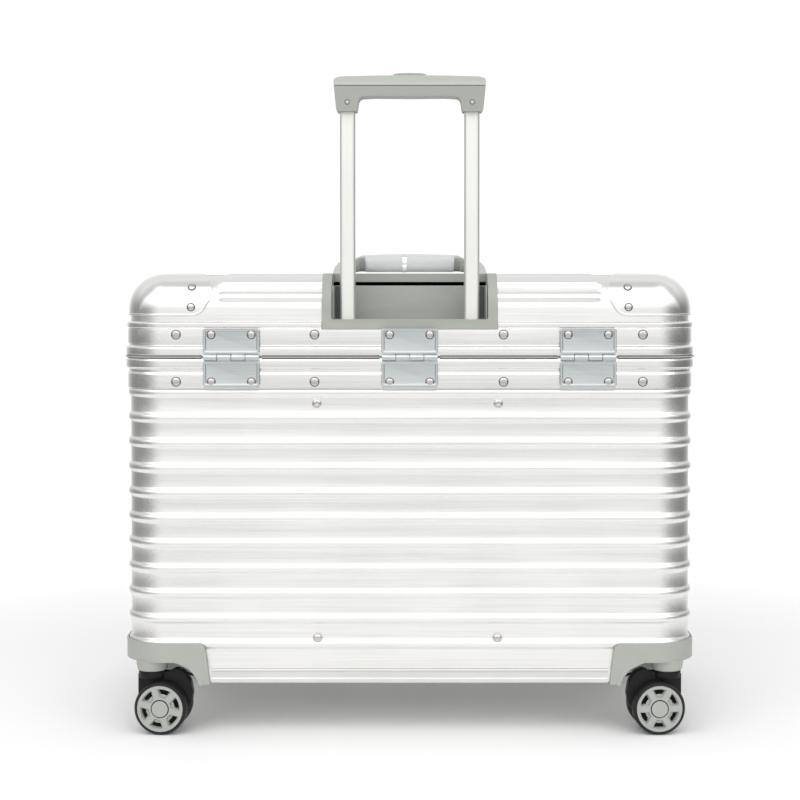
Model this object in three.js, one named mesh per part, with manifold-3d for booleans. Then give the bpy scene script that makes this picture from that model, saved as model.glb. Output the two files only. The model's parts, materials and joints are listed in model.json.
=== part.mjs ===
// Ribbed aluminium trolley case that opens at the top: a deep base on four twin-wheel casters, a shallow
// lid on three rear hinges, a telescopic pull handle at the back and a folding carry handle on the lid.
// Millimetres, +Z up, -Y the hinge side, origin on the floor under the middle of the case.

import * as THREE from 'three';
import { mergeVertices } from 'three/addons/utils/BufferGeometryUtils.js';
import Module from 'manifold-3d';

const wasm = await Module();
wasm.setup();

// ---- Driving dimensions -------------------------------------------------------------------------------

const HALF_WIDTH = 245; // flat side walls, measured from the middle
const HALF_DEPTH = 123;
const PLAN_RADIUS = 34;
const CORNER_STEPS = 6;
const GAP = 0.3; // between pieces that touch
const SHEET = 1.5; // shell wall
const REACH = 400; // a length past every edge of the case, for cutting blocks

const CASE_BOTTOM = 45;
const SHELL_TOP = 316;
const SPLIT = 326;
const LID_SHELL_BOTTOM = 336.2;
const LID_TOP = 396;
const SHOULDER_RADIUS = 29;
const SHOULDER_STEPS = 5;

const RIB_COUNT = 11;
const RIB_FIRST = 78.1;
const RIB_PITCH = 21.73;
const RIB_HALF_BASE = 4.8;
const RIB_HALF_CREST = 2.1;
const RIB_HEIGHT = 2;

const STRIP_BOTTOM = 299;
const FRAME_INNER = -3.5; // how far the frames reach in from the flat walls
const STRIP_FACE = 2.5; // rivet strips, out from the flat walls
const STRIP_TOP = 311; // of the base's rivet strip
const BEAD_FACE = 4;
const LIP_FACE = 3; // the frames' lips along the split
const SPLIT_HALF_GAP = 1;
const GROOVE_FACE = 1.6; // grooves between bead and strip
const BASE_BEAD = { grooveLow: 313, grooveHigh: 315, low: 317, high: 323 };
const LID_BEAD = { low: 328.4, high: 334, grooveLow: 336, grooveHigh: 337.3 };
const LID_STRIP = { low: 338, high: 349.8 };
const LID_FLANGE = { face: 3.2, groove: 350.4, low: 351.6, high: 355, top: 356.6 };

const KINGPIN_X = 224;
const KINGPIN_Y = 109.5;
const CASTER_TRAIL = 10;
const WHEEL_RADIUS = 22.7;
const WHEEL_SIDES = 24;
const WHEEL_INNER_FACE = 5; // from the fork's middle plane
const WHEEL_OUTER_FACE = 18;
const TYRE_EDGE = 1.5; // bevel of the tread's rims
const AXLE_RADIUS = 3.5;
const FORK_TOP = 53;
const FORK_THICKNESS = 9;
const FORK_WEB_RADIUS = 18.5;
const COLLAR_RADIUS = 12;
const KINGPIN_RADIUS = 4;
const KINGPIN_TOP = 60;
const RUNNING_GAP = 0.4;
const WELL_CEILING = 62.5;
const WELL_WALL = 3;
const SEAT_RADIUS = 13; // of the boss that the caster turns under
const GUARD_TOP = 79.5;
const GUARD_BOTTOM = 43;
const GUARD_REACH_X = 172; // the guards cover the corners beyond these lines
const GUARD_REACH_Y = 56;
const CASTER_ANGLES = {
  back_left: -4.5, back_right: 4.5, front_left: 7, front_right: -3,
};

const HINGE_XS = { left: -153, middle: 0, right: 153 };
const HINGE_AXIS_Y = -129.3;
const KNUCKLE_RADIUS = 2.85;
const KNUCKLE_COUNT = 4;
const KNUCKLE_SIDES = 12;
const HINGE_WIDTH = 48.4;
const HINGE_HEIGHT = 24.5; // one leaf, from the edge by the knuckles
const LEAF_OUTER = 129.8;
const LEAF_INNER = 127.3;
const LEAF_EDGE = 3.3; // from the hinge axis to the leaf's plate
const LEAF_INSET = 0.5; // of the leaf's seat inside its rivet strip
const KNUCKLE_ROOM = 3; // of the leaf's height, taken by the knuckles
const PIN_RADIUS = 1.3;

const TUBE_X = 53.7;
const TUBE_Y = -110;
const TUBE_WIDTH = 13.3;
const TUBE_DEPTH = 10;
const TUBE_BOTTOM = 290;
const SLEEVE_WALL = 1.3;
const SLEEVE_BOTTOM = 80;
const WELL_FLOOR = 357;
const WELL_FLOOR_THICKNESS = 3;
const TOWER_HALF_WIDTH = 66.9;
const TOWER_WALL = 1.1;
const TOWER_BACK_Y = -119;
const TOWER_FRONT_Y = -78.5;
const TOWER_TOP = 387.5;
const TOWER_BASE = 300;
const SLEEVE_BLOCK_DEPTH = 18; // solid blocks round the sleeves, from the tower's back
const SLEEVE_BLOCK_X = 40; // and outwards from this x
const COVER_HALF_WIDTH = 88;
const COVER_FRONT_Y = -98;
const COVER_WALL = 2.5;

const BEZEL_INNER = 67.3;
const BEZEL_OUTER = 75.7;
const BEZEL_PROUD = 2.2;
const BEZEL_BOTTOM = 350;
const SILL_TOP = 358.4; // top of the bezel's lower bar
const BEZEL_LAP = 7; // how far the bezel's skin runs in past the notch
const RIM_WALL = 1.9;
const NOTCH_CLEARANCE = 0.4; // between the rim and the shell
const NOTCH_FRONT_Y = -76;
const SHELL_NOTCH_BOTTOM = 354;
const RIM_LOW = 390.5;

const GRIP_HALF_WIDTH = 65.5;
const GRIP_TOP = 568;
const GRIP_BAR_BOTTOM = 550.5;
const GRIP_LEG_BOTTOM = WELL_FLOOR + 179.4;
const GRIP_LEG_INNER = 43.5;
const GRIP_DEPTH = 24;
const BUTTON_TOP = 570.8;

const BAIL_PIVOT_Z = 405.5;
const BAIL_REACH = 40; // pivot to grip centre
const BAIL_HALF_WIDTH = 58;
const BAIL_ARM = 11;
const BAIL_PIN_RADIUS = 3;
const BAIL_HALF_THICKNESS = 5.5;
const BAIL_GRIP_HALF = { width: 44, depth: 9 };
const BAIL_GRIP_RISE = 9; // top of the padded middle above the pivot
const MOUNT_WIDTH = 13;
const MOUNT_FOOT = 12; // half lengths along Y
const MOUNT_SHOULDER = 6.5;
const MOUNT_TOP = 411;

const LATCH_XS = { left: -150, right: 150 };
const LATCH_KNUCKLE_RADIUS = 2.1;
const LATCH_AXIS_Y = 129.95;
const LATCH_AXIS_Z = 345;

// ---- Solids -------------------------------------------------------------------------------------------

function toSolid(geometry) {
  const bare = geometry.clone();
  bare.deleteAttribute('normal');
  bare.deleteAttribute('uv');
  const merged = mergeVertices(bare, 1e-4);
  return new wasm.Manifold(new wasm.Mesh({
    numProp: 3,
    vertProperties: new Float32Array(merged.attributes.position.array),
    triVerts: new Uint32Array(merged.index.array),
  }));
}

function toGeometry(solid) {
  const mesh = solid.getMesh();
  const geometry = new THREE.BufferGeometry();
  geometry.setAttribute('position', new THREE.BufferAttribute(mesh.vertProperties, 3));
  geometry.setIndex(new THREE.BufferAttribute(mesh.triVerts, 1));
  geometry.computeVertexNormals();
  return geometry;
}

function block(x0, x1, y0, y1, z0, z1) {
  const geometry = new THREE.BoxGeometry(x1 - x0, y1 - y0, z1 - z0);
  geometry.translate((x0 + x1) / 2, (y0 + y1) / 2, (z0 + z1) / 2);
  return toSolid(geometry);
}

// A round bar along 'x', 'y' or 'z' through the point [x, y, z], from low to high on that axis.
function bar(axis, radius, low, high, centre, sides = 20) {
  const geometry = new THREE.CylinderGeometry(radius, radius, high - low, sides);
  geometry.rotateY(Math.PI / sides);
  if (axis === 'x') {
    geometry.rotateZ(Math.PI / 2);
  }
  if (axis === 'z') {
    geometry.rotateX(Math.PI / 2);
  }
  const place = [...centre];
  place['xyz'.indexOf(axis)] = (low + high) / 2;
  geometry.translate(...place);
  return toSolid(geometry);
}

// A shape in the XY plane pulled up from z0 to z1.
function prism(shape, z0, z1, curveSegments = 8) {
  const geometry = new THREE.ExtrudeGeometry(shape, { depth: z1 - z0, bevelEnabled: false, curveSegments });
  geometry.translate(0, 0, z0);
  return toSolid(geometry);
}

// A shape drawn in x and z, pulled from y0 to y1.
function upright(shape, y0, y1, curveSegments = 8) {
  const geometry = new THREE.ExtrudeGeometry(shape, { depth: y1 - y0, bevelEnabled: false, curveSegments });
  geometry.rotateX(Math.PI / 2);
  geometry.translate(0, y1, 0);
  return toSolid(geometry);
}

// The plan outline of the case, grown outwards, with the same corner facets as ring().
function planShape(grow) {
  const radius = (PLAN_RADIUS + grow) / Math.cos(Math.PI / (4 * CORNER_STEPS));
  const points = [];
  for (let k = 0; k < 4 * CORNER_STEPS; k += 1) {
    const angle = ((k + 0.5) * Math.PI) / (2 * CORNER_STEPS);
    const x = radius * Math.cos(angle);
    const y = radius * Math.sin(angle);
    points.push(new THREE.Vector2(
      x + Math.sign(x) * (HALF_WIDTH - PLAN_RADIUS),
      y + Math.sign(y) * (HALF_DEPTH - PLAN_RADIUS),
    ));
  }
  return new THREE.Shape(points);
}

function caseBlock(grow, z0, z1) {
  return prism(planShape(grow), z0, z1);
}

// A closed profile of [out from the flat walls, z] points carried round the plan outline. It is turned
// as a lathe and its four quarters are then moved out to the four corners.
function ring(profile) {
  const stretch = 1 / Math.cos(Math.PI / (4 * CORNER_STEPS));
  const points = [...profile, profile[0]].map(
    ([out, z]) => new THREE.Vector2((PLAN_RADIUS + out) * stretch, z),
  );
  const geometry = new THREE.LatheGeometry(points, 4 * CORNER_STEPS, Math.PI / (4 * CORNER_STEPS));
  geometry.rotateX(Math.PI / 2);
  const position = geometry.attributes.position;
  for (let i = 0; i < position.count; i += 1) {
    const x = position.getX(i);
    const y = position.getY(i);
    position.setX(i, x + Math.sign(x) * (HALF_WIDTH - PLAN_RADIUS));
    position.setY(i, y + Math.sign(y) * (HALF_DEPTH - PLAN_RADIUS));
  }
  return toSolid(geometry);
}

// A solid of revolution about the upright axis through (x, y), from [radius, z] points.
function turned(profile, x, y, sides) {
  const points = profile.map(([radius, z]) => new THREE.Vector2(radius, z));
  const geometry = new THREE.LatheGeometry(points, sides, Math.PI / sides);
  geometry.rotateX(Math.PI / 2);
  geometry.translate(x, y, 0);
  return toSolid(geometry);
}

function union(solids) {
  return solids.reduce((whole, solid) => whole.add(solid));
}

// ---- Scene graph --------------------------------------------------------------------------------------

const suitcase = new THREE.Group();

const FINISHES = {
  shell: { color: 0xe6e7e7, roughness: 0.34, metalness: 0.9 },
  frame: { color: 0xdcdedf, roughness: 0.28, metalness: 0.95 },
  polished: { color: 0xe9ebec, roughness: 0.18, metalness: 1 },
  hinge: { color: 0xc8ced0, roughness: 0.35, metalness: 0.9 },
  steel: { color: 0xb9bcbe, roughness: 0.25, metalness: 1 },
  tube: { color: 0xe8e9e6, roughness: 0.42, metalness: 0.7 },
  greyPlastic: { color: 0xb2b6ac, roughness: 0.5, metalness: 0 },
  darkPlastic: { color: 0x1c1a1c, roughness: 0.45, metalness: 0 },
  wheel: { color: 0x2a292a, roughness: 0.6, metalness: 0 },
  rubber: { color: 0x55575a, roughness: 0.8, metalness: 0 },
  lining: { color: 0x3c3f46, roughness: 0.95, metalness: 0 },
};

function place(name, solid, finish, parent = suitcase) {
  const mesh = new THREE.Mesh(toGeometry(solid), new THREE.MeshStandardMaterial(FINISHES[finish]));
  mesh.name = name;
  parent.add(mesh);
}

// ---- Wheel wells, shared by the shell, the lining and the guards --------------------------------------

const WELL_PROFILE = [[46, 43], [43.5, 50], [38, 57], [28, WELL_CEILING]];

function wellDome(x, y, grow) {
  const wall = WELL_PROFILE.map(([radius, z]) => [radius + grow, z + grow]);
  const profile = [[0, 0], [wall[0][0], 0], ...wall, [0, WELL_CEILING + grow]];
  return turned(profile, x, y, 24);
}

const CORNERS = {
  back_left: [-1, -1], back_right: [1, -1], front_left: [-1, 1], front_right: [1, 1],
};

function allWells(grow) {
  return union(Object.values(CORNERS).map(([sx, sy]) => wellDome(sx * KINGPIN_X, sy * KINGPIN_Y, grow)));
}

// ---- Base ---------------------------------------------------------------------------------------------

function baseShell() {
  const outside = [[0, CASE_BOTTOM]];
  for (let k = 0; k < RIB_COUNT; k += 1) {
    const z = RIB_FIRST + k * RIB_PITCH;
    const top = Math.min(z + RIB_HALF_BASE, STRIP_BOTTOM - GAP);
    const crestTop = Math.min(z + RIB_HALF_CREST, top - GAP);
    outside.push([0, z - RIB_HALF_BASE], [RIB_HEIGHT, z - RIB_HALF_CREST]);
    outside.push([RIB_HEIGHT, crestTop], [0, top]);
  }
  const wall = ring([...outside, [0, SHELL_TOP], [-SHEET, SHELL_TOP], [-SHEET, CASE_BOTTOM]]);
  const floor = caseBlock(-SHEET / 2, CASE_BOTTOM, CASE_BOTTOM + SHEET);
  return wall.add(floor).subtract(allWells(WELL_WALL + GAP));
}

function baseFrame() {
  const lip = SPLIT - SPLIT_HALF_GAP;
  return ring([
    [GAP, STRIP_BOTTOM], [STRIP_FACE, STRIP_BOTTOM], [STRIP_FACE, STRIP_TOP],
    [GROOVE_FACE, BASE_BEAD.grooveLow], [GROOVE_FACE, BASE_BEAD.grooveHigh],
    [BEAD_FACE, BASE_BEAD.low], [BEAD_FACE, BASE_BEAD.high],
    [LIP_FACE, lip], [FRAME_INNER, lip], [FRAME_INNER, SHELL_TOP + GAP], [GAP, SHELL_TOP + GAP],
  ]);
}

const GASKET_INNER = -3;
const GASKET_FACE = 2.4;
const LINING_THICKNESS = 1.6;
const LINING_CLEARANCE = 0.6;
const LINING_TOP = 312;

function liningBody(grow, z0, z1) {
  const notch = COVER_FRONT_Y - grow + LINING_CLEARANCE;
  const halfNotch = COVER_HALF_WIDTH - grow + LINING_CLEARANCE;
  const body = caseBlock(-SHEET - LINING_CLEARANCE + grow, z0, z1);
  return body.subtract(block(-halfNotch, halfNotch, -REACH, notch, z0 - 1, z1 + 1));
}

function baseLining() {
  const low = CASE_BOTTOM + SHEET + LINING_CLEARANCE;
  const outer = liningBody(0, low, LINING_TOP);
  const inner = liningBody(-LINING_THICKNESS, low + LINING_THICKNESS, LINING_TOP + 1);
  const towerHalf = TOWER_HALF_WIDTH + LINING_CLEARANCE;
  const tower = block(
    -towerHalf, towerHalf, -REACH, TOWER_FRONT_Y + LINING_CLEARANCE,
    TOWER_BASE - LINING_CLEARANCE, LINING_TOP + 1,
  );
  return outer.subtract(inner).subtract(tower).subtract(allWells(WELL_WALL + LINING_CLEARANCE));
}

const RAIL_TOP = 57;
const RAIL_FACE = 2.2;
const RAIL_GROOVE = { face: 1.5, low: 49, high: 55 };

function rail(halfLength, wallFace, alongY) {
  const profile = new THREE.Shape([
    new THREE.Vector2(-halfLength, wallFace + GAP),
    new THREE.Vector2(halfLength, wallFace + GAP),
    new THREE.Vector2(halfLength, wallFace + RAIL_FACE),
    new THREE.Vector2(-halfLength, wallFace + RAIL_FACE),
  ]);
  const solid = prism(profile, CASE_BOTTOM, RAIL_TOP);
  const floor = wallFace + RAIL_GROOVE.face;
  const groove = block(-REACH, REACH, floor, REACH, RAIL_GROOVE.low, RAIL_GROOVE.high);
  return solid.subtract(groove).rotate([0, 0, alongY]);
}

function wheelGuard(sx, sy) {
  const x = sx * KINGPIN_X;
  const y = sy * KINGPIN_Y;
  const xs = [sx * GUARD_REACH_X, sx * REACH].sort((a, b) => a - b);
  const ys = [sy * GUARD_REACH_Y, sy * REACH].sort((a, b) => a - b);
  const corner = block(...xs, ...ys, GUARD_BOTTOM, GUARD_TOP);
  const lipBottom = RIB_FIRST - RIB_HALF_BASE - 1;
  const skin = caseBlock(BEAD_FACE, GUARD_BOTTOM, GUARD_TOP)
    .intersect(corner)
    .subtract(caseBlock(GAP, CASE_BOTTOM - GAP, GUARD_TOP + 1))
    .subtract(caseBlock(RIB_HEIGHT + GAP, lipBottom, GUARD_TOP + 1));
  const well = wellDome(x, y, WELL_WALL)
    .intersect(caseBlock(BEAD_FACE, GUARD_BOTTOM, WELL_CEILING + WELL_WALL));
  const seat = bar('z', SEAT_RADIUS, FORK_TOP + RUNNING_GAP, WELL_CEILING + 1, [x, y], 20);
  const bore = bar('z', KINGPIN_RADIUS + RUNNING_GAP, 0, KINGPIN_TOP + RUNNING_GAP, [x, y], 12);
  return skin.add(well).subtract(wellDome(x, y, 0)).add(seat).subtract(bore);
}

// ---- Hinges -------------------------------------------------------------------------------------------

// One leaf: side is -1 for the lower leaf on the base and +1 for the upper leaf on the lid.
function hingeLeaf(x, side) {
  const left = x - HINGE_WIDTH / 2;
  const far = SPLIT + side * (LEAF_EDGE + HINGE_HEIGHT - KNUCKLE_ROOM);
  const near = SPLIT + side * LEAF_EDGE;
  const zs = [near, far].sort((a, b) => a - b);
  const stripZs = side < 0
    ? [STRIP_BOTTOM + LEAF_INSET, STRIP_TOP - LEAF_INSET]
    : [LID_STRIP.low + LEAF_INSET, LID_STRIP.high - LEAF_INSET];
  const pieces = [
    block(left, left + HINGE_WIDTH, -LEAF_OUTER, -LEAF_INNER, ...zs),
    block(left, left + HINGE_WIDTH, -LEAF_INNER - 0.5, -HALF_DEPTH - STRIP_FACE - GAP, ...stripZs),
  ];
  const pitch = HINGE_WIDTH / KNUCKLE_COUNT;
  for (let k = side < 0 ? 1 : 0; k < KNUCKLE_COUNT; k += 2) {
    const low = left + k * pitch + GAP / 2;
    const high = left + (k + 1) * pitch - GAP / 2;
    const webZs = [SPLIT, near + side].sort((a, b) => a - b);
    pieces.push(bar('x', KNUCKLE_RADIUS, low, high, [0, HINGE_AXIS_Y, SPLIT], KNUCKLE_SIDES));
    pieces.push(block(low, high, -LEAF_OUTER, -LEAF_INNER, ...webZs));
  }
  const bore = bar('x', PIN_RADIUS + GAP, left - 1, left + HINGE_WIDTH + 1, [0, HINGE_AXIS_Y, SPLIT], 10);
  return union(pieces).subtract(bore);
}

function hingePin(x) {
  const half = HINGE_WIDTH / 2;
  return bar('x', PIN_RADIUS, x - half, x + half, [0, HINGE_AXIS_Y, SPLIT], 10);
}

// ---- Handle housing in the base -----------------------------------------------------------------------

function tubeSection(grow, x) {
  const halfX = TUBE_WIDTH / 2 + grow;
  const halfY = TUBE_DEPTH / 2 + grow;
  const cut = 2 + grow / 2;
  return new THREE.Shape([
    new THREE.Vector2(x - halfX + cut, TUBE_Y - halfY),
    new THREE.Vector2(x + halfX - cut, TUBE_Y - halfY),
    new THREE.Vector2(x + halfX, TUBE_Y - halfY + cut),
    new THREE.Vector2(x + halfX, TUBE_Y + halfY - cut),
    new THREE.Vector2(x + halfX - cut, TUBE_Y + halfY),
    new THREE.Vector2(x - halfX + cut, TUBE_Y + halfY),
    new THREE.Vector2(x - halfX, TUBE_Y + halfY - cut),
    new THREE.Vector2(x - halfX, TUBE_Y - halfY + cut),
  ]);
}

function sleeve(x) {
  const outer = prism(tubeSection(RUNNING_GAP + SLEEVE_WALL, x), SLEEVE_BOTTOM, WELL_FLOOR - 1);
  return outer.subtract(prism(tubeSection(RUNNING_GAP, x), SLEEVE_BOTTOM - 1, WELL_FLOOR + 1));
}

function sleeveHoles(z0, z1) {
  const grow = RUNNING_GAP + SLEEVE_WALL + GAP;
  return prism(tubeSection(grow, -TUBE_X), z0, z1).add(prism(tubeSection(grow, TUBE_X), z0, z1));
}

// The tower: a block with the grip's open well on top, open towards the back and above.
function handleTower() {
  const half = TOWER_HALF_WIDTH;
  const inner = half - TOWER_WALL;
  const frontInside = TOWER_FRONT_Y - TOWER_WALL;
  const floorUnderside = WELL_FLOOR - WELL_FLOOR_THICKNESS;
  const body = block(-half, half, TOWER_BACK_Y, TOWER_FRONT_Y, TOWER_BASE, TOWER_TOP);
  const cuts = [
    block(-inner, inner, -REACH, frontInside, WELL_FLOOR, TOWER_TOP + 1),
    block(-inner, inner, TOWER_BACK_Y + SLEEVE_BLOCK_DEPTH, frontInside, TOWER_BASE - 1, floorUnderside),
    block(-SLEEVE_BLOCK_X, SLEEVE_BLOCK_X, -REACH, frontInside, TOWER_BASE - 1, floorUnderside),
    sleeveHoles(TOWER_BASE - 1, WELL_FLOOR - 0.7),
  ];
  for (const x of [-TUBE_X, TUBE_X]) {
    cuts.push(prism(tubeSection(RUNNING_GAP, x), WELL_FLOOR - 2, WELL_FLOOR + 1));
  }
  return body.subtract(union(cuts));
}

// The cover: a shallow tray over the sleeves inside the case's back wall.
function handleCover() {
  const back = -HALF_DEPTH + SHEET + GAP;
  const low = CASE_BOTTOM + SHEET + GAP;
  const high = TOWER_BASE - GAP;
  const body = block(-COVER_HALF_WIDTH, COVER_HALF_WIDTH, back, COVER_FRONT_Y, low, high);
  const hollow = block(
    -COVER_HALF_WIDTH + COVER_WALL, COVER_HALF_WIDTH - COVER_WALL,
    back - 1, COVER_FRONT_Y - COVER_WALL, low + COVER_WALL, high + 1,
  );
  return body.subtract(hollow);
}

// ---- Lid ----------------------------------------------------------------------------------------------

function shoulder(grow, low) {
  const points = [];
  const radius = SHOULDER_RADIUS + grow;
  const centreZ = LID_TOP - SHOULDER_RADIUS;
  for (let k = 0; k <= SHOULDER_STEPS; k += 1) {
    const angle = (k * Math.PI) / (2 * SHOULDER_STEPS);
    points.push([-SHOULDER_RADIUS + radius * Math.cos(angle), centreZ + radius * Math.sin(angle)]);
  }
  return [[grow, low], ...points];
}

// The lid's outer form, grown outwards, as a filled solid.
function lidBody(grow, low) {
  const core = -PLAN_RADIUS + 0.5;
  const rim = ring([[core, low], ...shoulder(grow, low), [core, LID_TOP + grow]]);
  const halfX = HALF_WIDTH + core + 0.2;
  const halfY = HALF_DEPTH + core + 0.2;
  return rim.add(block(-halfX, halfX, -halfY, halfY, low, LID_TOP + grow));
}

function notch(halfWidth, frontY, low) {
  return block(-halfWidth, halfWidth, -REACH, frontY, low, REACH + LID_TOP);
}

function lidShell() {
  const outer = lidBody(0, LID_SHELL_BOTTOM);
  const inner = lidBody(-SHEET, LID_SHELL_BOTTOM - 1);
  const grow = RIM_WALL + NOTCH_CLEARANCE;
  return outer.subtract(inner).subtract(notch(BEZEL_INNER + grow, NOTCH_FRONT_Y + grow, SHELL_NOTCH_BOTTOM));
}

function lidFrame() {
  const lip = SPLIT + SPLIT_HALF_GAP;
  const under = LID_SHELL_BOTTOM - GAP;
  return ring([
    [FRAME_INNER, lip], [LIP_FACE, lip], [BEAD_FACE, LID_BEAD.low], [BEAD_FACE, LID_BEAD.high],
    [GROOVE_FACE, LID_BEAD.grooveLow], [GROOVE_FACE, LID_BEAD.grooveHigh],
    [STRIP_FACE, LID_STRIP.low], [STRIP_FACE, LID_STRIP.high], [GROOVE_FACE, LID_FLANGE.groove],
    [LID_FLANGE.face, LID_FLANGE.low], [LID_FLANGE.face, LID_FLANGE.high],
    [SHEET, LID_FLANGE.top], [GAP, LID_FLANGE.top], [GAP, under], [FRAME_INNER, under],
  ]).subtract(notch(BEZEL_OUTER + GAP, 0, BEZEL_BOTTOM - GAP));
}

function gasket() {
  const low = SPLIT - SPLIT_HALF_GAP + GAP;
  const high = SPLIT + SPLIT_HALF_GAP - GAP;
  return ring([[GASKET_INNER, low], [GASKET_FACE, low], [GASKET_FACE, high], [GASKET_INNER, high]]);
}

// The bezel follows the lid's skin round the notch and turns down inside it as a rim.
function wellBezel() {
  const lapFront = NOTCH_FRONT_Y + BEZEL_LAP;
  const skin = lidBody(BEZEL_PROUD, BEZEL_BOTTOM).subtract(lidBody(GAP, BEZEL_BOTTOM - 1))
    .intersect(block(-BEZEL_OUTER, BEZEL_OUTER, -REACH, lapFront, BEZEL_BOTTOM, REACH));
  const rim = lidBody(BEZEL_PROUD, BEZEL_BOTTOM)
    .intersect(notch(BEZEL_INNER + RIM_WALL, NOTCH_FRONT_Y + RIM_WALL, SILL_TOP));
  const lowFront = block(-REACH, REACH, NOTCH_FRONT_Y - 1, 0, BEZEL_BOTTOM, RIM_LOW);
  return skin.add(rim.subtract(lowFront)).subtract(notch(BEZEL_INNER, NOTCH_FRONT_Y, SILL_TOP));
}

const LID_LINING_EDGE = -28;
const LID_LINING_TOP = LID_TOP - SHEET - GAP;

function lidLining() {
  const board = caseBlock(LID_LINING_EDGE, LID_LINING_TOP - 2, LID_LINING_TOP);
  return board.subtract(notch(BEZEL_OUTER, NOTCH_FRONT_Y + BEZEL_LAP, LID_LINING_TOP - 3));
}

// How far a cap reaches in from the side wall and from the front or back wall, as pairs.
const CAP_OUTLINE = [
  [74, -REACH], [74, 6], [66, 24], [49, 45], [26, 60], [6, 68], [-REACH, 68], [-REACH, -REACH],
];
const CAP_BOTTOM = 362.5;
const CAP_THICKNESS = 1.2;

function cornerCap(sx, sy) {
  const outline = CAP_OUTLINE.map(([inX, inY]) => new THREE.Vector2(
    sx * (HALF_WIDTH - inX),
    sy * (HALF_DEPTH - inY),
  ));
  const reach = prism(new THREE.Shape(outline), CAP_BOTTOM, REACH);
  const outer = lidBody(GAP + CAP_THICKNESS, LID_SHELL_BOTTOM);
  return outer.subtract(lidBody(GAP, LID_SHELL_BOTTOM - 1)).intersect(reach);
}

// ---- Carry handle on the lid --------------------------------------------------------------------------

function carryMount(sx) {
  const xs = [sx * (BAIL_HALF_WIDTH + GAP), sx * (BAIL_HALF_WIDTH + MOUNT_WIDTH)].sort((a, b) => a - b);
  const pinXs = [sx * BAIL_HALF_WIDTH, sx * (BAIL_HALF_WIDTH + 8)].sort((a, b) => a - b);
  const side = new THREE.Shape();
  side.moveTo(-MOUNT_FOOT, LID_TOP + GAP);
  side.lineTo(MOUNT_FOOT, LID_TOP + GAP);
  side.lineTo(MOUNT_SHOULDER, MOUNT_TOP - 2);
  side.lineTo(MOUNT_SHOULDER - 2.5, MOUNT_TOP);
  side.lineTo(2.5 - MOUNT_SHOULDER, MOUNT_TOP);
  side.lineTo(-MOUNT_SHOULDER, MOUNT_TOP - 2);
  const geometry = new THREE.ExtrudeGeometry(side, { depth: xs[1] - xs[0], bevelEnabled: false });
  geometry.rotateX(Math.PI / 2);
  geometry.rotateZ(Math.PI / 2);
  geometry.translate(xs[0], 0, 0);
  const bore = bar('x', BAIL_PIN_RADIUS + RUNNING_GAP, pinXs[0] - 1, pinXs[1] + 1, [0, 0, BAIL_PIVOT_Z], 16);
  return toSolid(geometry).subtract(bore);
}

function carryHandle() {
  const outer = BAIL_HALF_WIDTH;
  const inner = BAIL_HALF_WIDTH - BAIL_ARM;
  const far = BAIL_REACH + BAIL_GRIP_HALF.depth;
  const near = BAIL_REACH - BAIL_GRIP_HALF.depth;
  const bend = 16;
  const innerBend = 8;
  const plan = new THREE.Shape();
  plan.moveTo(-outer, 0);
  plan.lineTo(-outer, far - bend);
  plan.quadraticCurveTo(-outer, far, -outer + bend, far);
  plan.lineTo(outer - bend, far);
  plan.quadraticCurveTo(outer, far, outer, far - bend);
  plan.lineTo(outer, 0);
  plan.lineTo(inner, 0);
  plan.lineTo(inner, near - innerBend);
  plan.quadraticCurveTo(inner, near, inner - innerBend, near);
  plan.lineTo(-inner + innerBend, near);
  plan.quadraticCurveTo(-inner, near, -inner, near - innerBend);
  plan.lineTo(-inner, 0);
  const low = BAIL_PIVOT_Z - BAIL_HALF_THICKNESS;
  const half = BAIL_GRIP_HALF.width;
  const pieces = [prism(plan, low, BAIL_PIVOT_Z + BAIL_HALF_THICKNESS, 3)];
  pieces.push(block(-half, half, near, far, low, BAIL_PIVOT_Z + BAIL_GRIP_RISE));
  for (const sx of [-1, 1]) {
    const eye = [sx * inner, sx * outer].sort((a, b) => a - b);
    const pin = [sx * (inner + 2), sx * (outer + 7)].sort((a, b) => a - b);
    pieces.push(bar('x', BAIL_HALF_THICKNESS, ...eye, [0, 0, BAIL_PIVOT_Z], 16));
    pieces.push(bar('x', BAIL_PIN_RADIUS, ...pin, [0, 0, BAIL_PIVOT_Z], 16));
  }
  return union(pieces);
}

// ---- Pull handle --------------------------------------------------------------------------------------

const TUBE_TOP = 543;
const GRIP_CROWN = 1.5;
const GRIP_EDGE = 3; // how far its rims are stepped in, front and back
const BUTTON_HALF_WIDTH = 14.5;
const BUTTON_HALF_DEPTH = 6;
const BUTTON_BOTTOM = 563.2;
const BUTTON_POCKET_FLOOR = 560;

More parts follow.
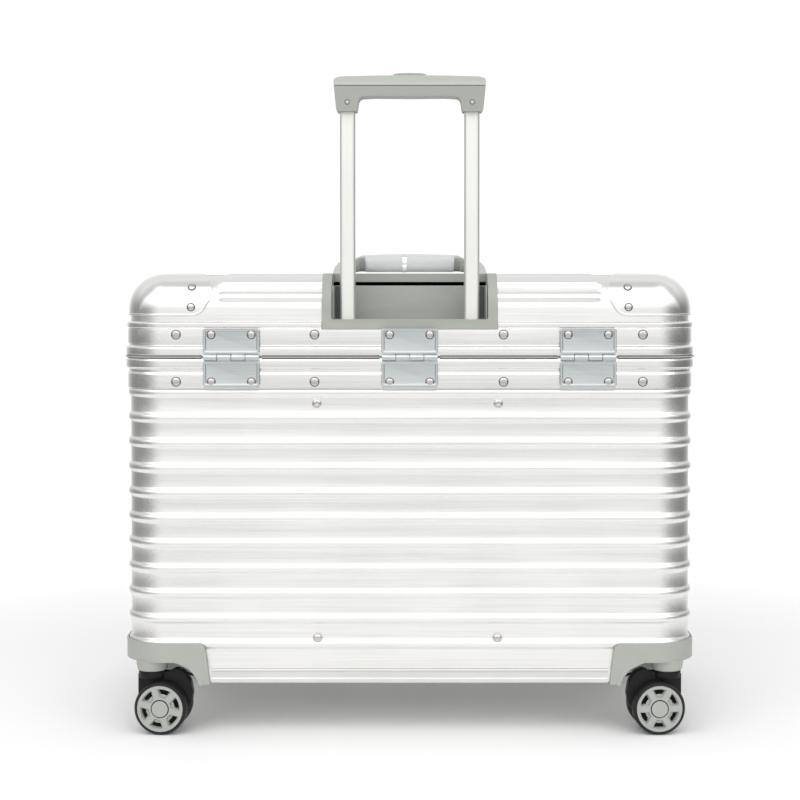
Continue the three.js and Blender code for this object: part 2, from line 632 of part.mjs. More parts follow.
function pullGrip() {
  const half = GRIP_HALF_WIDTH;
  const outline = new THREE.Shape();
  outline.moveTo(-half + 2.5, GRIP_LEG_BOTTOM);
  outline.lineTo(-GRIP_LEG_INNER - 2, GRIP_LEG_BOTTOM);
  outline.lineTo(-GRIP_LEG_INNER, GRIP_BAR_BOTTOM - 5);
  outline.quadraticCurveTo(-GRIP_LEG_INNER, GRIP_BAR_BOTTOM, -GRIP_LEG_INNER + 6, GRIP_BAR_BOTTOM);
  outline.lineTo(GRIP_LEG_INNER - 6, GRIP_BAR_BOTTOM);
  outline.quadraticCurveTo(GRIP_LEG_INNER, GRIP_BAR_BOTTOM, GRIP_LEG_INNER, GRIP_BAR_BOTTOM - 5);
  outline.lineTo(GRIP_LEG_INNER + 2, GRIP_LEG_BOTTOM);
  outline.lineTo(half - 2.5, GRIP_LEG_BOTTOM);
  outline.lineTo(half, GRIP_TOP - 4);
  outline.quadraticCurveTo(half, GRIP_TOP - GRIP_CROWN, half - 3, GRIP_TOP - GRIP_CROWN);
  outline.quadraticCurveTo(0, GRIP_TOP + GRIP_CROWN, 3 - half, GRIP_TOP - GRIP_CROWN);
  outline.quadraticCurveTo(-half, GRIP_TOP - GRIP_CROWN, -half, GRIP_TOP - 4);
  const back = TUBE_Y - GRIP_DEPTH / 2;
  const front = TUBE_Y + GRIP_DEPTH / 2;
  const core = upright(outline, back + GRIP_EDGE, front - GRIP_EDGE, 4);
  const cheeks = upright(outline, back, front, 4)
    .intersect(block(2 - half, half - 2, -REACH, 0, GRIP_LEG_BOTTOM, GRIP_TOP - GRIP_EDGE));
  const pockets = prism(tubeSection(GAP, -TUBE_X), 0, TUBE_TOP + GAP)
    .add(prism(tubeSection(GAP, TUBE_X), 0, TUBE_TOP + GAP));
  const pocketX = BUTTON_HALF_WIDTH + 0.5;
  const pocketY = BUTTON_HALF_DEPTH + 0.5;
  const buttonPocket = block(
    -pocketX, pocketX, TUBE_Y - pocketY, TUBE_Y + pocketY, BUTTON_POCKET_FLOOR, GRIP_TOP + 5,
  );
  return core.add(cheeks).subtract(pockets).subtract(buttonPocket);
}

function gripButton() {
  const outline = new THREE.Shape();
  outline.moveTo(-BUTTON_HALF_WIDTH, BUTTON_BOTTOM);
  outline.lineTo(BUTTON_HALF_WIDTH, BUTTON_BOTTOM);
  outline.lineTo(BUTTON_HALF_WIDTH, GRIP_TOP);
  outline.quadraticCurveTo(0, 2 * BUTTON_TOP - GRIP_TOP, -BUTTON_HALF_WIDTH, GRIP_TOP);
  return upright(outline, TUBE_Y - BUTTON_HALF_DEPTH, TUBE_Y + BUTTON_HALF_DEPTH, 6);
}

// ---- Casters ------------------------------------------------------------------------------------------

// Built with the kingpin on its own origin and the axle trailing towards +X, then turned and placed.
function fork(inward) {
  const axleX = inward * CASTER_TRAIL;
  const half = FORK_THICKNESS / 2;
  const web = bar('y', FORK_WEB_RADIUS, -half, half, [axleX, 0, WHEEL_RADIUS], 16);
  const post = block(-COLLAR_RADIUS, COLLAR_RADIUS, -half, half, WHEEL_RADIUS, FORK_TOP - 4);
  const collar = bar('z', COLLAR_RADIUS, FORK_TOP - 6, FORK_TOP, [0, 0], 16);
  const kingpin = bar('z', KINGPIN_RADIUS, FORK_TOP - 2, KINGPIN_TOP, [0, 0], 12);
  const reach = WHEEL_OUTER_FACE - 1;
  const axle = bar('y', AXLE_RADIUS, -reach, reach, [axleX, 0, WHEEL_RADIUS], 12);
  return union([web, post, collar, kingpin, axle]);
}

function wheel(inward, side) {
  const rim = WHEEL_RADIUS / Math.cos(Math.PI / WHEEL_SIDES);
  const profile = [
    [AXLE_RADIUS + RUNNING_GAP, WHEEL_INNER_FACE], [rim - TYRE_EDGE, WHEEL_INNER_FACE],
    [rim, WHEEL_INNER_FACE + TYRE_EDGE], [rim, WHEEL_OUTER_FACE - TYRE_EDGE],
    [rim - TYRE_EDGE, WHEEL_OUTER_FACE], [AXLE_RADIUS + RUNNING_GAP, WHEEL_OUTER_FACE],
    [AXLE_RADIUS + RUNNING_GAP, WHEEL_INNER_FACE],
  ];
  const points = profile.map(([radius, out]) => new THREE.Vector2(radius, out));
  const geometry = new THREE.LatheGeometry(points, WHEEL_SIDES, Math.PI / WHEEL_SIDES);
  if (side < 0) {
    geometry.rotateZ(Math.PI);
  }
  geometry.translate(inward * CASTER_TRAIL, 0, WHEEL_RADIUS);
  return toSolid(geometry);
}

// ---- Latches on the front -----------------------------------------------------------------------------

const LOCK_FRONT = 129.8;
const LATCH_PIN_RADIUS = 1.1;
const FLAP_HALF_WIDTH = 19;
const FLAP_BOTTOM = 298;
const FLAP_TOP = LATCH_AXIS_Z - 4;
const FLAP_NECK_BOTTOM = 335;
const EAR_WIDTH = 8;
const SLIDER_LENGTH = 17;
const SLIDER_RIM = 1.5;
const SLIDER_RISE = 1.9; // how far the pad stands above and below its slot
const LOCK_CASE = { halfWidth: 25, low: 282, high: 314 };
const SLOT = { halfWidth: 12, low: 287, high: 292 }; // the slider's window in the lock case
const PLATE = { halfWidth: 24, low: 339, high: 349.5 };
const FLAP_BACK = LOCK_FRONT + RUNNING_GAP;
const FLAP_FRONT = LEAF_OUTER + 2.25;

function lockCase(x) {
  const back = HALF_DEPTH + STRIP_FACE + GAP;
  const { halfWidth, low, high } = LOCK_CASE;
  const body = block(x - halfWidth, x + halfWidth, back, LOCK_FRONT, low, high);
  const slot = block(x - SLOT.halfWidth, x + SLOT.halfWidth, back - 1, LOCK_FRONT + 1, SLOT.low, SLOT.high);
  return body.subtract(slot);
}

function lockSlider(x) {
  const back = HALF_DEPTH + STRIP_FACE + 1;
  const stemLow = SLOT.low + RUNNING_GAP;
  const stemHigh = SLOT.high - RUNNING_GAP;
  const stemX = x - SLOT.halfWidth + 0.5;
  const stem = block(stemX, stemX + SLIDER_LENGTH, back, LOCK_FRONT + 1, stemLow, stemHigh);
  const pad = block(
    stemX + SLIDER_RIM, stemX + SLIDER_LENGTH - SLIDER_RIM, LOCK_FRONT + GAP, FLAP_FRONT,
    stemLow - SLIDER_RISE, stemHigh + SLIDER_RISE,
  );
  return stem.add(pad);
}

function latchPlate(x) {
  const back = HALF_DEPTH + STRIP_FACE + GAP;
  const front = HALF_DEPTH + BEAD_FACE + GAP;
  const pieces = [block(x - PLATE.halfWidth, x + PLATE.halfWidth, back, front, PLATE.low, PLATE.high)];
  for (const sx of [-1, 1]) {
    const ear = [x + sx * (FLAP_HALF_WIDTH - EAR_WIDTH), x + sx * FLAP_HALF_WIDTH].sort((a, b) => a - b);
    pieces.push(bar('x', LATCH_KNUCKLE_RADIUS, ...ear, [0, LATCH_AXIS_Y, LATCH_AXIS_Z], KNUCKLE_SIDES));
    pieces.push(block(...ear, back, LATCH_AXIS_Y, LATCH_AXIS_Z - 1.5, LATCH_AXIS_Z + 1.9));
  }
  const bore = bar('x', LATCH_PIN_RADIUS + GAP, x - 30, x + 30, [0, LATCH_AXIS_Y, LATCH_AXIS_Z], 10);
  return union(pieces).subtract(bore);
}

function latchFlap(x) {
  const inner = FLAP_HALF_WIDTH - EAR_WIDTH - GAP;
  const half = FLAP_HALF_WIDTH;
  const axis = [0, LATCH_AXIS_Y, LATCH_AXIS_Z];
  const barrel = bar('x', LATCH_KNUCKLE_RADIUS, x - inner, x + inner, axis, KNUCKLE_SIDES);
  const pin = bar('x', LATCH_PIN_RADIUS, x - half, x + half, axis, 10);
  const neck = block(x - inner, x + inner, FLAP_BACK, FLAP_FRONT, FLAP_NECK_BOTTOM, LATCH_AXIS_Z);
  const plate = block(x - half, x + half, FLAP_BACK, FLAP_FRONT, FLAP_BOTTOM, FLAP_TOP);
  return union([barrel, pin, neck, plate]);
}

// ---- Assembly -----------------------------------------------------------------------------------------

place('base_shell', baseShell(), 'shell');
place('base_frame', baseFrame(), 'frame');
place('base_lining', baseLining(), 'lining');
place('handle_tower', handleTower(), 'greyPlastic');
place('handle_cover', handleCover(), 'lining');
place('sleeve_left', sleeve(-TUBE_X), 'steel');
place('sleeve_right', sleeve(TUBE_X), 'steel');
place('rail_back', rail(GUARD_REACH_X - 1, HALF_DEPTH, 180), 'frame');
place('rail_front', rail(GUARD_REACH_X - 1, HALF_DEPTH, 0), 'frame');
place('rail_left', rail(GUARD_REACH_Y - 1, HALF_WIDTH, 90), 'frame');
place('rail_right', rail(GUARD_REACH_Y - 1, HALF_WIDTH, -90), 'frame');

place('lid_shell', lidShell(), 'shell');
place('lid_frame', lidFrame(), 'frame');
place('gasket', gasket(), 'rubber');
place('well_bezel', wellBezel(), 'greyPlastic');
place('lid_lining', lidLining(), 'lining');
place('carry_mount_left', carryMount(-1), 'greyPlastic');
place('carry_mount_right', carryMount(1), 'greyPlastic');
place('carry_handle', carryHandle(), 'greyPlastic');

for (const [side, x] of Object.entries(HINGE_XS)) {
  place(`hinge_lower_${side}`, hingeLeaf(x, -1), 'hinge');
  place(`hinge_upper_${side}`, hingeLeaf(x, 1), 'hinge');
  place(`hinge_pin_${side}`, hingePin(x), 'steel');
}

for (const [side, x] of Object.entries(LATCH_XS)) {
  place(`lock_case_${side}`, lockCase(x), 'hinge');
  place(`lock_slider_${side}`, lockSlider(x), 'polished');
  place(`latch_plate_${side}`, latchPlate(x), 'hinge');
  place(`latch_flap_${side}`, latchFlap(x), 'polished');
}

for (const [side, x] of [['left', -TUBE_X], ['right', TUBE_X]]) {
  place(`pull_tube_${side}`, prism(tubeSection(0, x), TUBE_BOTTOM, TUBE_TOP), 'tube');
}
place('pull_grip', pullGrip(), 'greyPlastic');
place('grip_button', gripButton(), 'greyPlastic');

for (const [corner, [sx, sy]] of Object.entries(CORNERS)) {
  place(`wheel_guard_${corner}`, wheelGuard(sx, sy), 'greyPlastic');
  place(`corner_cap_${corner}`, cornerCap(sx, sy), 'polished');
  const caster = new THREE.Group();
  caster.position.set(sx * KINGPIN_X, sy * KINGPIN_Y, 0);
  caster.rotation.z = THREE.MathUtils.degToRad(CASTER_ANGLES[corner]);
  suitcase.add(caster);
  place(`caster_fork_${corner}`, fork(-sx), 'darkPlastic', caster);
  place(`wheel_${corner}_outer`, wheel(-sx, sy), 'wheel', caster);
  place(`wheel_${corner}_inner`, wheel(-sx, -sy), 'wheel', caster);
}

export default suitcase;
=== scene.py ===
"""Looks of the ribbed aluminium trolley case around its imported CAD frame.

Sizes in this file are millimetres until piece() makes an object of them; -Y is the hinge side.
"""

import json
import math

import bmesh
import bpy
from mathutils import Matrix, Vector


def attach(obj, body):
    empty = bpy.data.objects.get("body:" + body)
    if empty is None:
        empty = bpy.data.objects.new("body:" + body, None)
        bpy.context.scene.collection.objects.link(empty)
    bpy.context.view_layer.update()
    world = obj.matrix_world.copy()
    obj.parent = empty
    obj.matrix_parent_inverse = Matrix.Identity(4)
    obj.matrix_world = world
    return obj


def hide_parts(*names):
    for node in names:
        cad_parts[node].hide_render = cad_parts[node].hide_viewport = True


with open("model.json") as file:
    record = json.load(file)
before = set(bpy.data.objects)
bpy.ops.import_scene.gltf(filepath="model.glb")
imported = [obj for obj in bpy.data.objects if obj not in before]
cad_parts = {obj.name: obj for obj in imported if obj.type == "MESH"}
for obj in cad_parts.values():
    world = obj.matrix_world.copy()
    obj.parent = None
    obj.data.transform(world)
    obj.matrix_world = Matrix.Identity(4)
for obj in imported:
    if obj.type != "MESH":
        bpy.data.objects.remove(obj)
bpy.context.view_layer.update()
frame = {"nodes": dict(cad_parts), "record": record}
MM = 0.001

# ---- Driving dimensions --------------------------------------------------------------------------------

HALF_WIDTH = 245.0
HALF_DEPTH = 123.0
PLAN_RADIUS = 34.0
SHEET = 1.5
CASE_BOTTOM = 45.0
SHELL_TOP = 316.0
SPLIT = 326.0
LID_SHELL_BOTTOM = 336.2
LID_TOP = 396.0
SHOULDER_RADIUS = 29.0
SHOULDER_Z = LID_TOP - SHOULDER_RADIUS
RIB_COUNT = 11
RIB_FIRST = 78.1
RIB_PITCH = 21.73
RIB_HALF_BASE = 4.8
RIB_HEIGHT = 2.0
STRIP_BOTTOM = 299.0
STRIP_FACE = 2.5
BEAD_FACE = 4.0
FRAME_INNER = -3.5
GAP = 0.3
KINGPIN_X = 224.0
KINGPIN_Y = 109.5
CASTER_TRAIL = 10.0
WHEEL_RADIUS = 22.7
WHEEL_INNER_FACE = 5.0
WHEEL_OUTER_FACE = 18.0
FORK_TOP = 53.0
GUARD_TOP = 79.5
GUARD_BOTTOM = 43.0
GUARD_REACH_X = 172.0
GUARD_REACH_Y = 56.0
WELL_PROFILE = [(46.0, 43.0), (43.5, 50.0), (38.0, 57.0), (28.0, 62.5)]
WELL_WALL = 3.0
CASTER_ANGLES = {"back_left": -4.5, "back_right": 4.5, "front_left": 7.0, "front_right": -3.0}
CORNERS = {"back_left": (-1, -1), "back_right": (1, -1), "front_left": (-1, 1), "front_right": (1, 1)}
HINGE_XS = {"left": -153.0, "middle": 0.0, "right": 153.0}
HINGE_AXIS_Y = -129.3
HINGE_WIDTH = 48.4
LEAF_OUTER = 129.8
LEAF_INNER = 127.3
KNUCKLE_RADIUS = 2.85
KNUCKLE_COUNT = 4
TUBE_X = 53.7
TUBE_Y = -110.0
TUBE_WIDTH = 13.3
TUBE_DEPTH = 10.0
TUBE_BOTTOM = 290.0
TUBE_TOP = 543.0
WELL_FLOOR = 357.0
TOWER_HALF_WIDTH = 66.9
TOWER_WALL = 1.1
TOWER_BACK_Y = -119.0
TOWER_FRONT_Y = -78.5
TOWER_TOP = 387.5
TOWER_BASE = 300.0
BEZEL_INNER = 67.3
BEZEL_OUTER = 75.7
BEZEL_PROUD = 2.2
NOTCH_FRONT_Y = -76.0
GRIP_HALF_WIDTH = 65.5
GRIP_TOP = 568.0
GRIP_BAR_BOTTOM = 550.5
GRIP_LEG_BOTTOM = 537.2
GRIP_LEG_INNER = 43.5
GRIP_DEPTH = 24.0
BUTTON_TOP = 570.8
BAIL_PIVOT_Z = 405.5
BAIL_REACH = 40.0
BAIL_HALF_WIDTH = 58.0
BAIL_ARM = 11.0
LATCH_XS = {"left": -150.0, "right": 150.0}

CORNER_STEPS = 14
PAST = 200.0  # beyond the case on any side, for cutters
RUNNING_GAP = 0.4  # round the pull tubes

# ---- Node materials -------------------------------------------------------------------------------------


def node(tree, kind, props=None, **inputs):
    """A shader node. An input is named, or given as n0, n1 ... by its place; a socket is linked."""
    made = tree.nodes.new("ShaderNode" + kind)
    for key, value in (props or {}).items():
        setattr(made, key, value)
    for key, value in inputs.items():
        place = int(key[1:]) if key[0] == "n" and key[1:].isdigit() else key.replace("_", " ")
        socket = made.inputs[place]
        if isinstance(value, bpy.types.NodeSocket):
            tree.links.new(value, socket)
        else:
            socket.default_value = value
    return made


def math_node(tree, operation, a, b=0.0, c=0.0):
    return node(tree, "Math", {"operation": operation}, n0=a, n1=b, n2=c).outputs[0]


def ramp(tree, value, low, high, out_low=0.0, out_high=1.0):
    made = node(tree, "MapRange", {"clamp": True, "interpolation_type": "SMOOTHSTEP"}, n0=value)
    for place, number in zip((1, 2, 3, 4), (low, high, out_low, out_high)):
        made.inputs[place].default_value = number
    return made.outputs[0]


def noise_of(tree, coords, scale, detail=3.0, stretch=(1.0, 1.0, 1.0)):
    mapped = node(tree, "Mapping", Vector=coords, Scale=stretch).outputs[0]
    return node(tree, "TexNoise", Vector=mapped, Scale=scale, Detail=detail).outputs[0]


def tint(tree, factor, first, second):
    mixed = node(tree, "Mix", {"data_type": "RGBA"}, n0=factor, n6=(*first, 1.0), n7=(*second, 1.0))
    return mixed.outputs[2]


def number_mix(tree, factor, first, second):
    return node(tree, "Mix", {"data_type": "FLOAT"}, n0=factor, n2=first, n3=second).outputs[0]


def new_material(name, metallic, **constants):
    material = bpy.data.materials.new(name)
    material.use_nodes = True
    tree = material.node_tree
    shader = tree.nodes["Principled BSDF"]
    shader.inputs["Metallic"].default_value = metallic
    for key, value in constants.items():
        shader.inputs[key.replace("_", " ")].default_value = value
    coords = tree.nodes.new("ShaderNodeTexCoord").outputs["Object"]
    return material, tree, shader, coords


def edge_wear(tree, coords, low=0.53, high=0.62):
    """Worn edges: convex places, broken up by a small noise."""
    pointed = node(tree, "NewGeometry").outputs["Pointiness"]
    return math_node(tree, "MULTIPLY", ramp(tree, pointed, low, high), noise_of(tree, coords, 60.0))


def surface(tree, shader, height, strength, distance):
    bump = node(tree, "Bump", Height=height, Strength=strength, Distance=distance)
    tree.links.new(bump.outputs[0], shader.inputs["Normal"])


def scaled(colour, factor):
    return tuple(min(1.0, c * factor) for c in colour)


def brushed(name, colour, roughness, fine=900.0, grain=0.05, spread=0.06, vertical=False):
    """Brushed metal: streaks run along X, along Y on the end walls, or upright."""
    material, tree, shader, coords = new_material(name, 1.0)
    along = 9.0
    if vertical:
        streaks = noise_of(tree, coords, 1.0, 4.0, (fine, fine, along))
    else:
        normal = node(tree, "NewGeometry").outputs["Normal"]
        sideways = math_node(tree, "ABSOLUTE", node(tree, "SeparateXYZ", Vector=normal).outputs[0])
        on_x = noise_of(tree, coords, 1.0, 4.0, (along, fine, fine))
        on_y = noise_of(tree, coords, 1.0, 4.0, (fine, along, fine))
        streaks = number_mix(tree, ramp(tree, sideways, 0.6, 0.8), on_x, on_y)
    clouds = noise_of(tree, coords, 14.0)
    worn = edge_wear(tree, coords)
    mixed = number_mix(tree, 0.35, streaks, clouds)
    base = tint(tree, ramp(tree, mixed, 0.3, 0.7), scaled(colour, 1.0 - grain), scaled(colour, 1.0 + grain))
    shown = node(tree, "Mix", {"data_type": "RGBA"}, n0=worn, n6=base, n7=(*scaled(colour, 1.08), 1.0))
    tree.links.new(shown.outputs[2], shader.inputs["Base Color"])
    rough = ramp(tree, mixed, 0.25, 0.75, roughness - spread, roughness + spread)
    tree.links.new(number_mix(tree, worn, rough, max(0.08, roughness - 0.12)), shader.inputs["Roughness"])
    surface(tree, shader, streaks, 0.12, 0.0002)
    return material


def moulded(name, colour, roughness, grain=420.0, bump=0.25, gloss=0.5, wear=1.12, variation=0.05):
    """Moulded plastic or rubber: fine pebbled skin, slight colour drift, paler worn edges."""
    material, tree, shader, coords = new_material(name, 0.0, Specular_IOR_Level=gloss)
    clouds = noise_of(tree, coords, 11.0)
    pebbles = noise_of(tree, coords, grain, 2.0)
    worn = edge_wear(tree, coords)
    base = tint(tree, clouds, scaled(colour, 1.0 - variation), scaled(colour, 1.0 + variation))
    shown = node(tree, "Mix", {"data_type": "RGBA"}, n0=worn, n6=base, n7=(*scaled(colour, wear), 1.0))
    tree.links.new(shown.outputs[2], shader.inputs["Base Color"])
    rough = ramp(tree, pebbles, 0.3, 0.7, roughness - 0.07, roughness + 0.07)
    tree.links.new(rough, shader.inputs["Roughness"])
    surface(tree, shader, pebbles, bump, 0.0002)
    return material


def woven(name, colour, pitch=1.1):
    """Plain woven lining: warp and weft threads over and under each other."""
    material, tree, shader, coords = new_material(name, 0.0, Sheen_Weight=0.25, Sheen_Roughness=0.5)
    parts = node(tree, "SeparateXYZ", Vector=coords).outputs
    normal = node(tree, "NewGeometry").outputs["Normal"]
    upward = math_node(tree, "ABSOLUTE", node(tree, "SeparateXYZ", Vector=normal).outputs[2])
    count = 2 * math.pi / (pitch * MM)
    round_the_wall = math_node(tree, "ADD", parts[0], parts[1])
    across = math_node(tree, "SINE", math_node(tree, "MULTIPLY", round_the_wall, count))
    rise = number_mix(tree, ramp(tree, upward, 0.6, 0.8), parts[2], parts[1])
    along = math_node(tree, "SINE", math_node(tree, "MULTIPLY", rise, count))
    threads = math_node(tree, "MULTIPLY", across, along)
    flecks = noise_of(tree, coords, 700.0)
    mixed = math_node(tree, "ADD", math_node(tree, "MULTIPLY", threads, 0.3), flecks)
    base = tint(tree, ramp(tree, mixed, 0.1, 0.9), scaled(colour, 0.72), scaled(colour, 1.3))
    tree.links.new(base, shader.inputs["Base Color"])
    tree.links.new(ramp(tree, mixed, 0.1, 0.9, 0.95, 0.8), shader.inputs["Roughness"])
    surface(tree, shader, mixed, 0.5, 0.0004)
    return material


MATERIALS = {
    "ribbed_shell": brushed("satin_aluminium", (0.87, 0.865, 0.85), 0.32),
    "frame_extrusion": brushed("extruded_aluminium", (0.875, 0.87, 0.855), 0.24),
    "polished_cap": brushed("polished_aluminium", (0.87, 0.87, 0.855), 0.2, 1300.0, 0.02, 0.04),
    "hinge_metal": brushed("hinge_alloy", (0.58, 0.61, 0.615), 0.3, 1100.0, 0.03),
    "pin_steel": brushed("rivet_steel", (0.60, 0.58, 0.56), 0.16, 1500.0, 0.03, 0.04),
    "tube_aluminium": brushed("anodised_tube", (0.83, 0.84, 0.80), 0.42, 1500.0, 0.02, 0.05, True),
    "grey_plastic": moulded("warm_grey_nylon", (0.36, 0.376, 0.34), 0.46),
    "cover_plastic": moulded("cover_plastic", (0.10, 0.105, 0.11), 0.55),
    "dark_plastic": moulded("black_nylon", (0.009, 0.008, 0.009), 0.42, 600.0, 0.2, 0.22, 2.0, 0.2),
    "wheel_rubber": moulded("polyurethane_tyre", (0.015, 0.013, 0.014), 0.5, 500.0, 0.3, 0.25, 2.2, 0.25),
    "gasket_rubber": moulded("grey_gasket", (0.42, 0.42, 0.40), 0.6, 700.0, 0.3),
    "lining_fabric": woven("woven_lining", (0.055, 0.06, 0.07)),
}
# near-black ring round each rivet: painted shade for the contact shadow at the rivet's foot, not a steel
# colour
RIVET_RING_SHADE = brushed("rivet_ring_painted_shade", (0.16, 0.155, 0.15), 0.35, 1500.0)
DISC_GREY = moulded("wheel_disc_grey", (0.38, 0.395, 0.37), 0.42)
# darker than the shell's metal: painted shade for the rails' downward-facing faces, which fall in shadow
RAIL_SHADED_ALUMINIUM = brushed("rail_aluminium_painted_shade", (0.72, 0.715, 0.70), 0.4)
# near-black floor of the disc's windows and hub groove: painted shade for the dark seen in those openings
DISC_WINDOW_SHADE = moulded("wheel_window_painted_shade", (0.008, 0.008, 0.008), 0.7, 420.0, 0.25, 0.15)
GRIP_TOP_GREY = moulded("grip_top_grey", (0.48, 0.50, 0.47), 0.38, 700.0, 0.12)
BAIL_SKIN = moulded("bail_skin", (0.62, 0.64, 0.645), 0.15, 900.0, 0.05)
BAIL_FRAME_GREY = moulded("bail_frame_grey", (0.235, 0.25, 0.23), 0.35, 900.0, 0.08)
PIPING = moulded("lining_piping", (0.03, 0.03, 0.035), 0.6, 900.0, 0.4)

# ---- Mesh helpers ---------------------------------------------------------------------------------------


class Build:
    """Collects closed surfaces, each with a material number."""

    def __init__(self):
        self.points, self.faces, self.numbers = [], [], []

    def add(self, shape, number=0, matrix=None):
        points, faces = shape
        base = len(self.points)
        self.points += [tuple(matrix @ Vector(p)) if matrix else tuple(p) for p in points]
        self.faces += [[base + i for i in face] for face in faces]
        self.numbers += [number] * len(faces)
        return self


def quads(first, second, count):
    """Quads between two rings of points that start at first and at second."""
    return [[first + k, first + (k + 1) % count, second + (k + 1) % count, second + k] for k in range(count)]


def loft(loops, closed=False):
    """Quads between loops of equal length; the two ends are capped, or joined if closed."""
    count = len(loops[0])
    points = [p for loop in loops for p in loop]
    faces = []
    last = len(loops) if closed else len(loops) - 1
    for i in range(last):
        faces += quads(i * count, ((i + 1) % len(loops)) * count, count)
    if not closed:
        faces.append(list(range(count))[::-1])
        faces.append([(len(loops) - 1) * count + k for k in range(count)])
    return points, faces


def fillet(points, radius, steps=4, closed=True):
    """A polygon with rounded corners. A corner may carry its own radius as a third number."""
    made = []
    for i, corner in enumerate(points):
        here = Vector(corner[:2])
        wanted = corner[2] if len(corner) > 2 else radius
        ends = not closed and i in (0, len(points) - 1)
        before = Vector(points[i - 1][:2]) - here
        after = Vector(points[(i + 1) % len(points)][:2]) - here
        if ends or wanted <= 0 or before.length < 1e-6 or after.length < 1e-6:
            made.append(tuple(here))
            continue
        angle = before.angle(after)
        if angle > math.radians(178):
            made.append(tuple(here))
            continue
        cut = min(wanted / math.tan(angle / 2), before.length * 0.49, after.length * 0.49)
        first, second = here + before.normalized() * cut, here + after.normalized() * cut
        for k in range(steps + 1):
            t = k / steps
            point = first.lerp(here, t).lerp(here.lerp(second, t), t)
            made.append(tuple(point))
    return made


def rounded(a0, a1, b0, b1, radius, steps=4):
    """A rectangle with rounded corners."""
    return fillet([(a0, b0), (a1, b0), (a1, b1), (a0, b1)], radius, steps)


def at_level(outline, z):
    return [(a, b, z) for a, b in outline]


def columns(xs=(), ys=(), steps=CORNER_STEPS):
    """Points round the flat walls' plan outline, each (x, y, outward x, outward y)."""
    made = []
    corners = [(1, 1), (-1, 1), (-1, -1), (1, -1)]
    runs = [
        [(x, HALF_DEPTH, 0, 1) for x in sorted(xs, reverse=True)],
        [(-HALF_WIDTH, y, -1, 0) for y in sorted(ys, reverse=True)],
        [(x, -HALF_DEPTH, 0, -1) for x in sorted(xs)],
        [(HALF_WIDTH, y, 1, 0) for y in sorted(ys)],
    ]
    for quarter, (sx, sy) in enumerate(corners):
        for k in range(steps + 1):
            angle = math.pi / 2 * (quarter + k / steps)
            nx, ny = math.cos(angle), math.sin(angle)
            x = sx * (HALF_WIDTH - PLAN_RADIUS) + PLAN_RADIUS * nx
            y = sy * (HALF_DEPTH - PLAN_RADIUS) + PLAN_RADIUS * ny
            made.append((x, y, nx, ny))
        made += runs[quarter]
    return made


def at(column, out, z):
    return (column[0] + column[2] * out, column[1] + column[3] * out, z)


PLAIN_COLUMNS = columns((-150, -100, -50, 0, 50, 100, 150), (-50, 0, 50))


def ring(profile, where=PLAIN_COLUMNS):
    """A closed profile of (out, z) points carried round the plan outline."""
    return loft([[at(column, out, z) for out, z in profile] for column in where], closed=True)


def plan_loop(out, z, where=PLAIN_COLUMNS):
    return [at(column, out, z) for column in where]


def plan_block(out, low, high):
    return loft([plan_loop(out, low), plan_loop(out, high)])


def block(x0, x1, y0, y1, z0, z1):
    loop = [(x0, y0), (x1, y0), (x1, y1), (x0, y1)]
    return loft([at_level(loop, z) for z in (z0, z1)])


def prism(outline, low, high, plane="xy", edge=0.0, steps=3):
    """An outline pulled between two levels, its rims rounded by edge through inset loops."""
    levels = [(low, 0.0), (high, 0.0)]
    if edge:
        turn = [math.pi / 2 * k / steps for k in range(steps + 1)]
        bottom = [(low + edge * (1 - math.sin(a)), edge * (1 - math.cos(a))) for a in turn]
        top = [(high - edge * (1 - math.sin(a)), edge * (1 - math.cos(a))) for a in turn]
        levels = bottom[::-1] + top
    loops = []
    for level, inset in levels:
        loop = shrunk(outline, inset) if inset > 1e-9 else outline
        loops.append([place_in(plane, a, b, level) for a, b in loop])
    return loft(loops)


def place_in(plane, a, b, level):
    return {"xy": (a, b, level), "xz": (a, level, b), "yz": (level, a, b)}[plane]


def shrunk(outline, inset):
    """The outline moved inwards by inset, corner by corner."""
    area = sum(
        outline[i - 1][0] * outline[i][1] - outline[i][0] * outline[i - 1][1] for i in range(len(outline))
    )
    sign = 1 if area > 0 else -1
    made = []
    for i, here in enumerate(outline):
        before = Vector(here) - Vector(outline[i - 1])
        after = Vector(outline[(i + 1) % len(outline)]) - Vector(here)
        total = Vector((0.0, 0.0))
        for edge in (before, after):
            if edge.length > 1e-9:
                edge = edge.normalized()
                total += Vector((-edge.y, edge.x)) * sign
        if total.length > 1e-9:
            total = total / max(0.5, total.length_squared / 2)
        made.append((here[0] + total.x * inset, here[1] + total.y * inset))
    return made


def lathe(profile, centre, axis, sides=48, closed=False):
    """(radius, along) points turned about an axis through centre; along is measured from centre."""
    along = Vector(axis).normalized()
    side = along.orthogonal().normalized()
    other = along.cross(side)
    loops = []
    for radius, level in profile:
        loop = []
        for k in range(sides):
            angle = 2 * math.pi * k / sides
            spoke = side * math.cos(angle) + other * math.sin(angle)
            loop.append(tuple(Vector(centre) + along * level + spoke * radius))
        loops.append(loop)
    return loft(loops, closed)


def rounded_bar(radius, low, high, edge, centre, axis, sides=32):
    """A round bar with rounded rims, as a lathe."""
    profile = [(max(0.05, radius - edge * 3), low)]
    for k in range(4):
        angle = math.pi / 2 * k / 3
        profile.append((radius - edge * (1 - math.sin(angle)), low + edge * (1 - math.cos(angle))))
    for k in range(4):
        angle = math.pi / 2 * k / 3
        profile.append((radius - edge * (1 - math.cos(angle)), high - edge * (1 - math.sin(angle))))
    profile.append((max(0.05, radius - edge * 3), high))
    return lathe(profile, centre, axis, sides)


def rivet(centre, normal, radius=3.6, height=1.3, sides=28):
    """A domed rivet head; it sits on a thin ring whose near-black colour is painted shade for the shadow at
    its foot.
    """
    profile = [(radius, -0.3), (radius, 0.3), (radius - 0.1, 0.6)]
    for k in range(1, 7):
        angle = math.pi / 2 * k / 7
        profile.append(((radius - 0.1) * math.cos(angle), 0.6 + (height - 0.6) * math.sin(angle)))
    return lathe(profile, centre, normal, sides)


